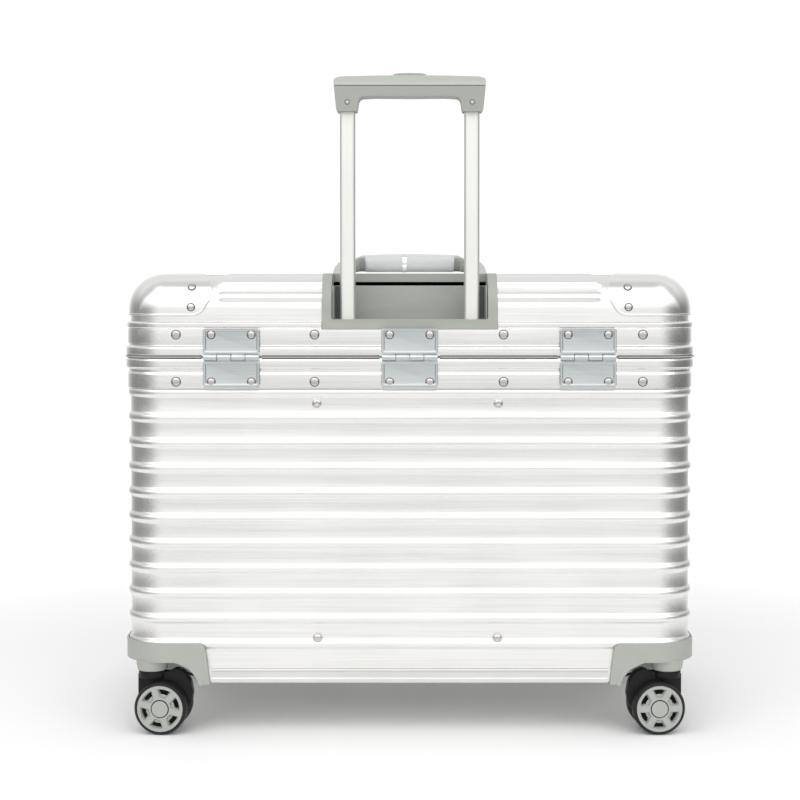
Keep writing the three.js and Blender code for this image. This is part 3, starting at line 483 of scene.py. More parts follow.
def rivet_shade_ring(centre, normal, radius=3.6, sides=28):
    """A thin ring round a rivet's foot, near-black: painted shade for the contact shadow in the gap under the
    head.
    """
    inside, outside, top = radius + 0.05, radius + 0.7, 0.22
    profile = [(inside, -0.3), (outside, -0.3), (outside, 0.1), (radius + 0.4, top), (inside, top)]
    return lathe(profile, centre, normal, sides, closed=True)


def socket_screw(centre, normal, radius=3.3):
    """A pan-head screw with a hollow drive."""
    profile = [
        (radius + 0.9, -0.3), (radius + 0.9, 0.25), (radius + 0.5, 0.45), (radius, 0.45), (radius, 0.9),
        (radius - 0.7, 1.5), (radius - 1.5, 1.7), (1.5, 1.7), (1.2, 1.5), (1.1, 0.7), (0.4, 0.6),
    ]
    return lathe(profile, centre, normal, 30)


def tube_along(path, radius, sides=8, closed=True):
    """A round bead that follows a path of points."""
    loops = []
    count = len(path)
    for i in range(count):
        here = Vector(path[i])
        before = Vector(path[i - 1] if closed or i else path[0])
        after = Vector(path[(i + 1) % count] if closed or i < count - 1 else path[-1])
        tangent = (after - before).normalized()
        up = Vector((0, 0, 1)) if abs(tangent.z) < 0.9 else Vector((0, 1, 0))
        side = tangent.cross(up).normalized()
        other = side.cross(tangent)
        loops.append([
            tuple(here + (side * math.cos(a) + other * math.sin(a)) * radius)
            for a in (2 * math.pi * k / sides for k in range(sides))
        ])
    return loft(loops, closed)


def raw(shape, name="cutter"):
    """An object that isn't in the scene's table, in metres."""
    points, faces = shape
    mesh = bpy.data.meshes.new(name)
    mesh.from_pydata([[c * MM for c in p] for p in points], [], faces)
    tidy(mesh)
    made = bpy.data.objects.new(name, mesh)
    bpy.context.scene.collection.objects.link(made)
    return made


def tidy(mesh, merge=2e-6):
    work = bmesh.new()
    work.from_mesh(mesh)
    bmesh.ops.remove_doubles(work, verts=work.verts, dist=merge)
    bmesh.ops.dissolve_degenerate(work, edges=work.edges, dist=merge)
    bmesh.ops.recalc_face_normals(work, faces=work.faces)
    work.to_mesh(mesh)
    work.free()


def carve(target, shapes, operation="DIFFERENCE"):
    """Cuts, adds or keeps what it shares with each shape, and leaves plain mesh data."""
    cutters = [raw(shape) for shape in shapes]
    for cutter in cutters:
        modifier = target.modifiers.new("carve", "BOOLEAN")
        modifier.operation = operation
        modifier.solver = "EXACT"
        modifier.object = cutter
    bake(target)
    for cutter in cutters:
        bpy.data.objects.remove(cutter)
    return target


def bake(target):
    bpy.context.view_layer.update()
    graph = bpy.context.evaluated_depsgraph_get()
    mesh = bpy.data.meshes.new_from_object(target.evaluated_get(graph))
    target.modifiers.clear()
    target.data = mesh
    tidy(mesh)


def shape_of(target):
    return [tuple(v.co / MM) for v in target.data.vertices], [list(p.vertices) for p in target.data.polygons]


def clean_flat(target, degrees=0.6):
    work = bmesh.new()
    work.from_mesh(target.data)
    bmesh.ops.dissolve_limit(work, angle_limit=math.radians(degrees), verts=work.verts, edges=work.edges)
    work.to_mesh(target.data)
    work.free()


def soften(target, width, angle=30.0, segments=3):
    """Rounded edges, kept as a modifier."""
    bevel = target.modifiers.new("rounded_edges", "BEVEL")
    bevel.width = width * MM
    bevel.segments = segments
    bevel.limit_method = "ANGLE"
    bevel.angle_limit = math.radians(angle)
    bevel.harden_normals = True
    return target


def settle(made, name, body, slot, materials, replaced, angle=32.0):
    """Names a made object, gives it its finish and its body, and hides the CAD nodes that it stands for."""
    made.name = name
    made.data.name = name
    for material in materials or [MATERIALS[slot]]:
        made.data.materials.append(material)
    made.data.polygons.foreach_set("use_smooth", [True] * len(made.data.polygons))
    made.data.set_sharp_from_angle(angle=math.radians(angle))
    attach(made, body)
    if replaced:
        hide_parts(*replaced)
    return made


def piece(name, build, body, slot, materials=None, replaced=(), angle=32.0):
    if isinstance(build, tuple):
        build = Build().add(build)
    mesh = bpy.data.meshes.new(name)
    mesh.from_pydata([[c * MM for c in p] for p in build.points], [], build.faces)
    mesh.polygons.foreach_set("material_index", build.numbers)
    tidy(mesh)
    made = bpy.data.objects.new(name, mesh)
    bpy.context.scene.collection.objects.link(made)
    return settle(made, name, body, slot, materials, replaced, angle)


def between(side, near, far):
    """The two ends of a stretch on one side, lower first."""
    return sorted((side * near, side * far))


def smooth_step(low, high, value):
    t = min(1.0, max(0.0, (value - low) / (high - low)))
    return t * t * (3 - 2 * t)


# ---- Camera, floor and light ----------------------------------------------------------------------------

EYE = Vector((0.0, -1.575, 0.388))
TILT = math.radians(1.25)
SKY_TOP = 2.0
SKY = [  # degrees up from the hinge side and over the top, strength
    (0, 0.91), (8, 1.05), (20, 1.5), (58, 1.6), (68, 0.74), (92, 0.68), (112, 0.88), (135, 0.84), (165, 0.95),
    (180, 1.0),
]
BACKGROUND = 1.05  # what the camera sees behind the case
FLOOR_RADIUS = 1.0  # metres, where the floor has faded into the background
FLOOR_FADE = 0.5
LIGHT_SIZE = 1.8
LIGHT_AIM = Vector((0.0, 0.0, 0.2))


def studio():
    scene = bpy.context.scene
    camera = bpy.data.objects.new("camera", bpy.data.cameras.new("camera"))
    camera.data.lens = 76.0
    camera.data.sensor_width = 36.0
    camera.data.shift_x = -0.0122
    camera.data.shift_y = -0.0977
    camera.data.clip_start = 0.05
    camera.location = EYE
    camera.rotation_euler = (math.pi / 2 - TILT, 0.0, 0.0)
    scene.collection.objects.link(camera)
    scene.camera = camera

    mesh = bpy.data.meshes.new("floor")
    reach = FLOOR_RADIUS + FLOOR_FADE
    corners = [(-reach, -reach, 0), (reach, -reach, 0), (reach, reach, 0), (-reach, reach, 0)]
    mesh.from_pydata(corners, [], [[0, 1, 2, 3]])
    floor = bpy.data.objects.new("floor", mesh)
    scene.collection.objects.link(floor)
    material, tree, shader, coords = new_material("studio_floor", 0.0)
    shader.inputs["Roughness"].default_value = 0.9
    shader.inputs["Specular IOR Level"].default_value = 0.1
    shade = tint(tree, noise_of(tree, coords, 3.0), (0.93, 0.93, 0.93), (0.95, 0.95, 0.95))
    tree.links.new(shade, shader.inputs["Base Color"])
    away = node(tree, "VectorMath", {"operation": "LENGTH"}, n0=coords).outputs["Value"]
    solid = ramp(tree, away, FLOOR_RADIUS - FLOOR_FADE, FLOOR_RADIUS, 1.0, 0.0)
    tree.links.new(solid, shader.inputs["Alpha"])
    mesh.materials.append(material)

    world = bpy.data.worlds.new("studio")
    world.use_nodes = True
    scene.world = world
    tree = world.node_tree
    back = tree.nodes["Background"]
    direction = node(tree, "TexCoord").outputs["Generated"]
    x, y, z = node(tree, "SeparateXYZ", Vector=direction).outputs
    sides = ramp(tree, math_node(tree, "ABSOLUTE", x), 0.35, 1.0)
    low = ramp(tree, z, -0.05, 0.7, 1.0, 0.0)
    flag = math_node(tree, "MULTIPLY_ADD", x, 0.05, 0.74)
    dark = math_node(tree, "MULTIPLY", math_node(tree, "MULTIPLY", sides, low), flag)
    turn = math_node(tree, "ARCTAN2", z, math_node(tree, "MULTIPLY", y, -1.0))
    glow = tree.nodes.new("ShaderNodeFloatCurve")
    curve = glow.mapping.curves[0]
    for place, (angle, level) in enumerate(SKY):
        spot = (angle / 180.0, level / SKY_TOP)
        if place in (0, 1):
            curve.points[place].location = spot
        else:
            curve.points.new(*spot)
    glow.mapping.update()
    share = math_node(tree, "DIVIDE", math_node(tree, "MAXIMUM", turn, 0.0), math.pi)
    tree.links.new(share, glow.inputs["Value"])
    glow = math_node(tree, "MULTIPLY", glow.outputs[0], SKY_TOP)
    glow = math_node(tree, "MULTIPLY", glow, ramp(tree, z, -0.14, 0.0, 0.88, 1.0))
    strength = math_node(tree, "MULTIPLY", glow, math_node(tree, "SUBTRACT", 1.0, dark))
    seen = node(tree, "LightPath").outputs["Is Camera Ray"]
    tree.links.new(number_mix(tree, seen, strength, BACKGROUND), back.inputs["Strength"])
    back.inputs["Color"].default_value = (1.0, 1.0, 1.0, 1.0)
    scene.view_settings.view_transform = "Standard"

    for name, place, power in (("key", (-0.8, -1.3, 2.1), 8.0), ("fill", (1.0, -1.2, 2.1), 5.5)):
        light = bpy.data.lights.new(name, "AREA")
        light.size = LIGHT_SIZE
        light.energy = power
        lamp = bpy.data.objects.new(name, light)
        lamp.location = place
        lamp.rotation_euler = (Vector(place) - LIGHT_AIM).to_track_quat("Z", "Y").to_euler()
        scene.collection.objects.link(lamp)


studio()

# ---- Lid form, shared by the shell, the caps and the bezel ----------------------------------------------

RIB_END = 163.5
RIB_END_SIDE = 48.0
RIB_FADE = 3.5
LID_RIB_ANGLES = [math.radians(a) for a in (22.0, 51.0)]
TOP_RIB_YS = [k * RIB_PITCH for k in range(-3, 4)]
SECTION = (-5.0, -4.4, -3.7, -3.0, -2.3, -1.2, 0.0, 1.2, 2.3, 3.0, 3.7, 4.4, 5.0)


def smooth_rib(distance):
    """Height of a rolled rib at a distance from its middle line."""
    t = min(1.0, max(0.0, (RIB_HALF_BASE + 0.2 - abs(distance)) / (RIB_HALF_BASE - 0.9)))
    return RIB_HEIGHT * t * t * (3 - 2 * t)


def lid_rib_share(x, y):
    """1 where the lid's ribs run, 0 under the corner caps."""
    along_x, along_y = 0.0, 0.0
    if abs(y) > HALF_DEPTH - SHOULDER_RADIUS:
        along_x = smooth_step(RIB_END + RIB_FADE, RIB_END - RIB_FADE, abs(x))
    if abs(x) > HALF_WIDTH - SHOULDER_RADIUS:
        along_y = smooth_step(RIB_END_SIDE + RIB_FADE, RIB_END_SIDE - RIB_FADE, abs(y))
    return max(along_x, along_y)


def fade(limit, value):
    return 1.0 - smooth_step(limit - RIB_FADE, limit + RIB_FADE, abs(value))


def lid_surface(x, y, grow=0.0):
    """Height of the lid's skin over a plan point, or None past its wall."""
    qx, qy = abs(x) - (HALF_WIDTH - PLAN_RADIUS), abs(y) - (HALF_DEPTH - PLAN_RADIUS)
    out = math.hypot(qx, qy) - PLAN_RADIUS if qx > 0 and qy > 0 else max(qx, qy) - PLAN_RADIUS
    if out > grow:
        return None
    if out <= -SHOULDER_RADIUS:
        return LID_TOP + grow
    return SHOULDER_Z + math.sqrt(max(0.0, (SHOULDER_RADIUS + grow) ** 2 - (out + SHOULDER_RADIUS) ** 2))


def lid_body(grow, low, steps=14):
    """The lid's outer form without ribs, grown outwards, as a filled solid."""
    loops = [plan_loop(grow, low)]
    for k in range(steps + 1):
        angle = math.pi / 2 * k / steps
        radius = SHOULDER_RADIUS + grow
        out = -SHOULDER_RADIUS + radius * math.cos(angle)
        loops.append(plan_loop(out, SHOULDER_Z + radius * math.sin(angle)))
    return loft(loops)


def shoulder_angles():
    made = {math.pi / 2 * k / 14 for k in range(15)}
    for middle in LID_RIB_ANGLES:
        made |= {middle + s / SHOULDER_RADIUS for s in SECTION}
    ordered = sorted(a for a in made if 0 <= a <= math.pi / 2)
    kept = [ordered[0]]
    for angle in ordered[1:]:
        if angle - kept[-1] > 0.3 / SHOULDER_RADIUS:
            kept.append(angle)
    kept[-1] = math.pi / 2
    return kept


def lid_columns():
    xs = {0.0}
    for s in (30, 60, 74, 78, 82, 86, 110, 135, 155, 160, 161.5, 163, 164.5, 166, 168, 172, 188):
        xs |= {s, -s}
    ys = {0.0}
    for s in (12, 24, 36, 43, 44.5, 46, 47.5, 49, 50.5, 52, 55, 65, 78):
        ys |= {s, -s}
    for rib in TOP_RIB_YS:
        ys |= {rib + s for s in SECTION}
    return sorted(xs), sorted(y for y in ys if abs(y) < HALF_DEPTH - PLAN_RADIUS)


def lid_shell():
    xs, ys = lid_columns()
    thinned = [ys[0]]
    for y in ys[1:]:
        if y - thinned[-1] > 0.25:
            thinned.append(y)
    ys = thinned
    cols = columns(xs, ys, 10)
    count = len(cols)
    loops = [plan_loop(-SHEET, LID_SHELL_BOTTOM, cols), plan_loop(0.0, LID_SHELL_BOTTOM, cols)]
    for angle in shoulder_angles():
        rise = sum(smooth_rib((angle - middle) * SHOULDER_RADIUS) for middle in LID_RIB_ANGLES)
        loop = []
        for column in cols:
            share = lid_rib_share(column[0], column[1])
            radius = SHOULDER_RADIUS + rise * share
            out = -SHOULDER_RADIUS + radius * math.cos(angle)
            loop.append(at(column, out, SHOULDER_Z + radius * math.sin(angle)))
        loops.append(loop)
    points = [p for loop in loops for p in loop]
    faces = []
    for i in range(len(loops) - 1):
        faces += quads(i * count, (i + 1) * count, count)
    top = (len(loops) - 1) * count
    steps = 10

    def height(x, y):
        total = 0.0
        for rib in TOP_RIB_YS:
            share = fade(RIB_END, x)
            if abs(rib) < 1.0 or rib < -60:
                share *= smooth_step(78, 86, abs(x))
            total += smooth_rib(y - rib) * share
        return LID_TOP + total

    grid = {}
    for i, x in enumerate(xs):
        for j, y in enumerate(ys):
            grid[i, j] = len(points)
            points.append((x, y, height(x, y)))
    nx, ny = len(xs), len(ys)
    for i in range(nx - 1):
        for j in range(ny - 1):
            faces.append([grid[i, j], grid[i + 1, j], grid[i + 1, j + 1], grid[i, j + 1]])
    front = [top + steps + 1 + k for k in range(nx)][::-1]
    left = [top + 2 * (steps + 1) + nx + k for k in range(ny)][::-1]
    back = [top + 3 * (steps + 1) + nx + ny + k for k in range(nx)]
    right = [top + 4 * (steps + 1) + 2 * nx + ny + k for k in range(ny)]
    for i in range(nx - 1):
        faces.append([grid[i, ny - 1], grid[i + 1, ny - 1], front[i + 1], front[i]])
        faces.append([back[i], back[i + 1], grid[i + 1, 0], grid[i, 0]])
    for j in range(ny - 1):
        faces.append([left[j], grid[0, j], grid[0, j + 1], left[j + 1]])
        faces.append([grid[nx - 1, j], right[j], right[j + 1], grid[nx - 1, j + 1]])
    arcs = [
        (top, grid[nx - 1, ny - 1], right[-1], front[-1]),
        (top + steps + 1 + nx, grid[0, ny - 1], front[0], left[-1]),
        (top + 2 * (steps + 1) + nx + ny, grid[0, 0], left[0], back[0]),
        (top + 3 * (steps + 1) + 2 * nx + ny, grid[nx - 1, 0], back[-1], right[0]),
    ]
    for start, hub, before, after in arcs:
        rim = [before] + [start + k for k in range(steps + 1)] + [after]
        for a, b in zip(rim, rim[1:]):
            faces.append([hub, a, b])
    inner_start = len(points)
    inner = []
    for k in range(9):
        angle = math.pi / 2 * k / 8
        radius = SHOULDER_RADIUS - SHEET
        out = -SHOULDER_RADIUS + radius * math.cos(angle)
        inner.append(plan_loop(out, SHOULDER_Z + radius * math.sin(angle), cols))
    points += [p for loop in inner for p in loop]
    rows = [0] + [inner_start + i * count for i in range(len(inner))]
    for first, second in zip(rows, rows[1:]):
        faces += quads(first, second, count)
    faces.append([rows[-1] + k for k in range(count)])
    made = raw((points, faces), "lid_skin")
    carve(made, [block(-BEZEL_INNER - 2.3, BEZEL_INNER + 2.3, -200, NOTCH_FRONT_Y + 2.3, 354, 460)])
    settle(made, "lid_skin", "lid", "ribbed_shell", None, ["lid_shell"], 40)


lid_shell()

# ---- Base -----------------------------------------------------------------------------------------------


def well_dome(corner, grow):
    sx, sy = CORNERS[corner]
    wall = [(radius + grow, z + grow) for radius, z in WELL_PROFILE]
    smooth = fillet([(wall[0][0], 0.0, 0), *wall, (1.0, wall[-1][1], 0)], 5.0, 4, closed=False)
    return lathe(smooth, (sx * KINGPIN_X, sy * KINGPIN_Y, 0), (0, 0, 1), 64)


def base_shell():
    outline = []
    for k in range(RIB_COUNT):
        z = RIB_FIRST + k * RIB_PITCH
        top = STRIP_BOTTOM - GAP
        for s in SECTION:
            if z + s < top:
                outline.append((smooth_rib(s), z + s))
    outline = [(out * smooth_step(STRIP_BOTTOM, STRIP_BOTTOM - 1.5, z), z) for out, z in outline]
    loops = [plan_loop(-2.0, CASE_BOTTOM), plan_loop(-0.5, CASE_BOTTOM + 0.2)]
    loops += [plan_loop(0.0, CASE_BOTTOM + 1.0)]
    loops += [plan_loop(out, z) for out, z in outline]
    loops += [plan_loop(0.0, STRIP_BOTTOM), plan_loop(0.0, SHELL_TOP), plan_loop(-SHEET, SHELL_TOP)]
    loops += [plan_loop(-SHEET, CASE_BOTTOM + SHEET)]
    made = raw(loft(loops), "base_skin")
    carve(made, [well_dome(corner, WELL_WALL + GAP) for corner in CORNERS])
    settle(made, "base_skin", "base", "ribbed_shell", None, ["base_shell"], 40)


base_shell()


def frames():
    base_profile = fillet([
        (GAP, STRIP_BOTTOM, 0), (STRIP_FACE, STRIP_BOTTOM, 0.4), (STRIP_FACE, 311.0, 1.0), (1.6, 313.0, 0.5),
        (1.6, 315.0, 0.7), (BEAD_FACE, 317.0, 1.6), (BEAD_FACE, 323.0, 1.6), (3.0, 325.0, 0.4),
        (FRAME_INNER, 325.0, 0.3), (FRAME_INNER, 316.3, 0), (GAP, 316.3, 0),
    ], 0.3)
    piece("base_extrusion", ring(base_profile), "base", "frame_extrusion", replaced=["base_frame"], angle=50)
    lid_profile = fillet([
        (FRAME_INNER, 327.0, 0), (3.0, 327.0, 0.4), (BEAD_FACE, 328.4, 1.4), (BEAD_FACE, 334.0, 1.6),
        (1.6, 336.0, 0.7), (1.6, 337.3, 0.4), (STRIP_FACE, 338.0, 0.4), (STRIP_FACE, 349.8, 0.3),
        (1.6, 350.4, 0.3), (3.2, 351.6, 0.6),
        (3.2, 355.0, 0.8), (1.5, 356.6, 0.6), (GAP, 356.6, 0), (GAP, 335.9, 0), (FRAME_INNER, 335.9, 0),
    ], 0.3)
    made = raw(ring(lid_profile), "lid_extrusion")
    carve(made, [block(-BEZEL_OUTER - GAP, BEZEL_OUTER + GAP, -200, 0, 350 - GAP, 470)])
    settle(made, "lid_extrusion", "lid", "frame_extrusion", None, ["lid_frame"], 50)
    seal = fillet([(-3.0, 325.4), (4.6, 325.4), (4.9, 326.0), (4.6, 326.6), (-3.0, 326.6)], 0.3)
    strip = raw(ring(seal), "split_gasket")
    rooms = [block(x - 26, x + 26, -150, -HALF_DEPTH - 2.6, 320, 332) for x in HINGE_XS.values()]
    rooms += [block(x - 21, x + 21, HALF_DEPTH + 2.6, 150, 320, 332) for x in LATCH_XS.values()]
    carve(strip, rooms)
    settle(strip, "split_gasket", "lid", "gasket_rubber", None, ["gasket"])


frames()


def rails():
    half_x, half_y = GUARD_REACH_X - 1, GUARD_REACH_Y - 1
    for name, half, wall, turn in (
        ("rail_back", half_x, HALF_DEPTH, math.pi), ("rail_front", half_x, HALF_DEPTH, 0.0),
        ("rail_left", half_y, HALF_WIDTH, math.pi / 2), ("rail_right", half_y, HALF_WIDTH, -math.pi / 2),
    ):
        section = fillet([
            (wall + GAP, 45.0, 0), (wall + 2.2, 45.0, 0.4), (wall + 2.2, 48.6, 0.6), (wall + 1.5, 49.2, 0.3),
            (wall + 1.5, 54.2, 0.3), (wall + 2.2, 54.8, 0.4), (wall + 2.2, 57.0, 0.5), (wall + GAP, 57.0, 0),
        ], 0.3, 3)
        shape = loft([[(x, y, z) for y, z in section] for x in (-half, -half / 2, 0, half / 2, half)])
        build = Build().add(shape, 0, Matrix.Rotation(turn, 4, "Z"))
        # the rails take the darker aluminium: painted shade for their downward-facing faces
        piece(name + "_bar", build, "base", "frame_extrusion", [RAIL_SHADED_ALUMINIUM], [name], 40)


rails()


def guard(corner):
    sx, sy = CORNERS[corner]
    lip_bottom = RIB_FIRST - RIB_HALF_BASE - 1
    section = fillet([
        (GAP, GUARD_BOTTOM + 1.7, 0), (GAP, lip_bottom, 0), (RIB_HEIGHT + GAP + 0.2, lip_bottom, 0.2),
        (RIB_HEIGHT + GAP + 0.2, GUARD_TOP, 0.5), (BEAD_FACE, GUARD_TOP, 1.0), (BEAD_FACE, 62.0, 6.0),
        (3.4, GUARD_BOTTOM, 1.2), (-14.0, GUARD_BOTTOM, 0.5), (-14.0, GUARD_BOTTOM + 1.7, 0),
    ], 0.4)
    made = raw(ring(section, columns((-190, -150, 0, 150, 190), (-70, 0, 70), 20)), "guard")
    xs = between(sx, GUARD_REACH_X, 300)
    ys = between(sy, GUARD_REACH_Y, 300)
    carve(made, [block(*xs, *ys, 0, 200)], "INTERSECT")
    dome = raw(well_dome(corner, WELL_WALL), "dome")
    carve(dome, [plan_block(BEAD_FACE - 0.05, GUARD_BOTTOM, 90)], "INTERSECT")
    carve(made, [shape_of(dome)], "UNION")
    bpy.data.objects.remove(dome)
    centre = (sx * KINGPIN_X, sy * KINGPIN_Y, 0)
    carve(made, [well_dome(corner, 0.0)])
    seat = [(12.0, FORK_TOP + 0.4), (13.0, FORK_TOP + 1.2), (13.6, 58.0), (14.5, 63.5)]
    carve(made, [lathe(seat, centre, (0, 0, 1), 48)], "UNION")
    carve(made, [lathe([(4.4, 0.0), (4.4, 60.4)], centre, (0, 0, 1), 32)])
    reach = sx * GUARD_REACH_X
    slant = [
        (reach + sx * 9.0, GUARD_TOP + 2), (reach + sx * 9.0, GUARD_TOP + 0.3),
        (reach + sx * 4.6, GUARD_TOP - 3.4), (reach, GUARD_BOTTOM - 2), (reach - sx * 9, GUARD_BOTTOM - 2),
        (reach - sx * 9, GUARD_TOP + 2),
    ]
    carve(made, [prism(slant, *between(sy, HALF_DEPTH - 16, HALF_DEPTH + 9), "xz")])
    leg = rounded(*between(sy, GUARD_REACH_Y - 3, 83), 30, 58.5, 2.0)
    carve(made, [prism(leg, *between(sx, 238, 260), "yz")])
    clean_flat(made)
    settle(made, f"guard_{corner}", "base", "grey_plastic", None, [f"wheel_guard_{corner}"], 32)
    soften(made, 0.55, 40)


for corner_name in CORNERS:
    guard(corner_name)


# ---- Casters --------------------------------------------------------------------------------------------

POCKETS = 6
# how far each outer wheel has rolled, in radians
WHEEL_SPINS = {"back_left": 0.227, "back_right": 0.0, "front_left": -0.2, "front_right": 0.8}
INNER_WHEEL_SPIN = 0.6
WHEEL_SIDES = 144
DISC_RADII = [
    20.1, 19.7, 19.2, 17.6, 17.4, 17.2, 17.0, 16.8, 16.6, 16.45, 16.35, 15.6, 14.8, 14.0, 13.2, 12.65, 12.55,
    12.0, 11.2, 10.4, 10.2, 10.0, 9.8, 9.6, 9.4, 9.2, 8.2, 7.95, 7.85, 7.15, 7.05, 6.6, 4.0, 1.2,
]


def disc_height(radius, turn):
    """Relief of the wheel disc: (how far its face lies behind the rim, material number); material 1 is
    near-black, painted shade in the windows and the groove round the hub.
    """
    share = (turn / (2 * math.pi) * POCKETS) % 1.0
    off = abs(share - 0.5) * 2 * math.pi / POCKETS * radius  # mm from the pocket's middle line
    if radius < 7.1:
        return (-0.25, 0)
    # the groove round the hub takes material 1: painted shade in the crease
    if radius < 7.9:
        return (0.9, 1)
    half = (math.pi / POCKETS * radius) - 2.6
    inside = smooth_step(0.0, 0.9, half - off)
    band = smooth_step(9.3, 10.2, radius) * (1.0 - smooth_step(16.6, 17.4, radius))
    depth = 2.4 * inside * band
    # the windows' floors take material 1: painted shade for the dark seen through them
    window = off < half - 1.3 and 12.6 < radius < 16.4
    return (depth + (2.6 if window else 0.0), 1 if window else 0)


def wheel_shape(angle_offset):
    """A wheel on the Z axis, outer face up, its faces at the CAD wheel's levels."""
    low, high = WHEEL_INNER_FACE, WHEEL_OUTER_FACE
    build = Build()
    tyre = fillet([
        (19.9, low + 1.0, 0.3), (20.4, low + 0.2, 0.3), (WHEEL_RADIUS - 1.6, low, 0.8),
        (WHEEL_RADIUS, low + 2.2, 2.2), (WHEEL_RADIUS, high - 2.2, 2.2), (WHEEL_RADIUS - 1.6, high, 0.8),
        (20.4, high - 0.2, 0.3), (19.9, high - 1.0, 0.3),
    ], 0.5, 5)
    build.add(lathe(tyre, (0, 0, 0), (0, 0, 1), 72, closed=True), 2)
    face = high - 0.5
    turns = [2 * math.pi * k / WHEEL_SIDES for k in range(WHEEL_SIDES)]
    rim = DISC_RADII[0]
    back = [[rim * math.cos(turn), rim * math.sin(turn), low + 0.6] for turn in turns]
    loops = [back]
    for radius in DISC_RADII:
        loop = []
        for turn in turns:
            depth, _ = disc_height(radius, turn + angle_offset)
            drop = 0.5 if radius == rim else 0.0
            loop.append((radius * math.cos(turn), radius * math.sin(turn), face - depth - drop))
        loops.append(loop)
    points, faces = loft(loops)
    numbers = []
    for index in range(len(faces)):
        row = index // WHEEL_SIDES - 1
        if 0 <= row < len(DISC_RADII) - 1:
            middle = (DISC_RADII[row] + DISC_RADII[row + 1]) / 2
            turn = 2 * math.pi * (index % WHEEL_SIDES + 0.5) / WHEEL_SIDES
            numbers.append(disc_height(middle, turn + angle_offset)[1])
        else:
            numbers.append(0)
    base = len(build.points)
    build.points += [tuple(p) for p in points]
    build.faces += [[base + i for i in f] for f in faces]
    build.numbers += numbers
    return build


def caster(corner):
    sx, sy = CORNERS[corner]
    place = Matrix.Translation((sx * KINGPIN_X, sy * KINGPIN_Y, 0)) @ Matrix.Rotation(
        math.radians(CASTER_ANGLES[corner]), 4, "Z")
    axle_x = -sx * CASTER_TRAIL
    hood = fillet([
        (-12.0, 50.5, 1.0), (-12.0, 24.0, 3.0), (-7.0, 10.0, 6.0), (4.0, 4.4, 8.0), (16.0, 5.5, 9.0),
        (27.0, 14.0, 9.0), (34.5, 24.0, 9.0), (36.0, 34.0, 9.0), (34.5, 43.5, 8.0), (29.0, 52.5, 7.0),
        (21.0, 55.6, 6.0), (16.2, 52.7, 1.0), (12.0, 52.6, 1.0),
    ], 3.0, 5)
    hood = [(-sx * x, z) for x, z in hood]
    fork = Build()
    fork.add(prism(hood, -4.5, 4.5, "xz", 1.0), 0, place)
    fork.add(rounded_bar(12.0, 47.0, FORK_TOP, 0.6, (0, 0, 0), (0, 0, 1), 48), 0, place)
    fork.add(rounded_bar(4.0, FORK_TOP - 1, 60.0, 0.4, (0, 0, 0), (0, 0, 1), 24), 0, place)
    fork.add(rounded_bar(3.4, -15.0, 15.0, 0.3, (axle_x, 0, WHEEL_RADIUS), (0, 1, 0), 24), 0, place)
    piece(f"fork_{corner}", fork, f"caster_{corner}", "dark_plastic", replaced=[f"caster_fork_{corner}"])
    for name, side, spin in (("outer", sy, WHEEL_SPINS[corner]), ("inner", -sy, INNER_WHEEL_SPIN)):
        tilt = Matrix.Rotation(-math.pi / 2 * side, 4, "X")
        stand = place @ Matrix.Translation((axle_x, 0, WHEEL_RADIUS)) @ tilt
        shape = wheel_shape(spin)
        build = Build()
        build.points = [tuple(stand @ Vector(p)) for p in shape.points]
        build.faces, build.numbers = shape.faces, shape.numbers
        piece(
            f"tyre_and_disc_{corner}_{name}", build, f"wheel_{corner}_{name}", "wheel_rubber",
            [DISC_GREY, DISC_WINDOW_SHADE, MATERIALS["wheel_rubber"]], [f"wheel_{corner}_{name}"], 38,
        )


for corner_name in CORNERS:
    caster(corner_name)

# ---- Corner caps ----------------------------------------------------------------------------------------

# (in from side, in from back, corner radius), from the back edge to the side edge
CAP_OUTLINE = [(74, 7, 9), (66, 25, 14), (49, 46, 22), (26, 61, 14), (6, 68, 9)]
CAP_BOTTOM = 362.5
CAP_WALL_REACH_X = 62.0  # the cap's lower edge ends here, in from the side wall
CAP_WALL_REACH_Y = 58.0
CAP_SLANT_TOP = 378.0
CAP_GROW = 1.5
CAP_EDGE_STEP = 2.4
CAP_RIVETS = [(57.0, 386.0), (57.0, 369.0)]  # in from side, height


def cap_petal():
    """The cap's plan outline as (in from side, in from back) points, from the back edge to the side edge."""
    side_reach, back_reach = CAP_OUTLINE[0][0], CAP_OUTLINE[-1][1]
    return fillet([(side_reach, -5.0, 0), *CAP_OUTLINE, (-5.0, back_reach, 0)], 5, 8, False)


def cap_path(sx, sy, grow):
    """Points round the cap's edge, on the lid's skin."""

    def back_wall(reach, z):
        return (HALF_WIDTH - reach, HALF_DEPTH + grow, z)

    def side_wall(reach, z):
        return (HALF_WIDTH + grow, HALF_DEPTH - reach, z)

    over = []
    for in_x, in_y in fillet([(74, 1.5, 0), *CAP_OUTLINE, (1.5, 68, 0)], 5, 9, closed=False):
        x, y = HALF_WIDTH - in_x, HALF_DEPTH - in_y
        z = lid_surface(x, y, grow)
        if z is not None and z > CAP_SLANT_TOP:
            over.append((x, y, z))
    low, eased = CAP_BOTTOM + 0.5, CAP_BOTTOM + 3.5
    start = [back_wall(CAP_WALL_REACH_X, low), back_wall(CAP_WALL_REACH_X + 4.5, eased)]
    end = [side_wall(CAP_WALL_REACH_Y + 4.0, eased), side_wall(CAP_WALL_REACH_Y, low)]
    bottom = [at(column, grow, CAP_BOTTOM) for column in columns((), (), 20)[:21]]
    bottom = [side_wall(CAP_WALL_REACH_Y - 4, CAP_BOTTOM), *bottom]
    bottom.append(back_wall(CAP_WALL_REACH_X - 4, CAP_BOTTOM))
    spaced = even(start + over + end + bottom, CAP_EDGE_STEP)
    return [(sx * x, sy * y, z) for x, y, z in spaced]


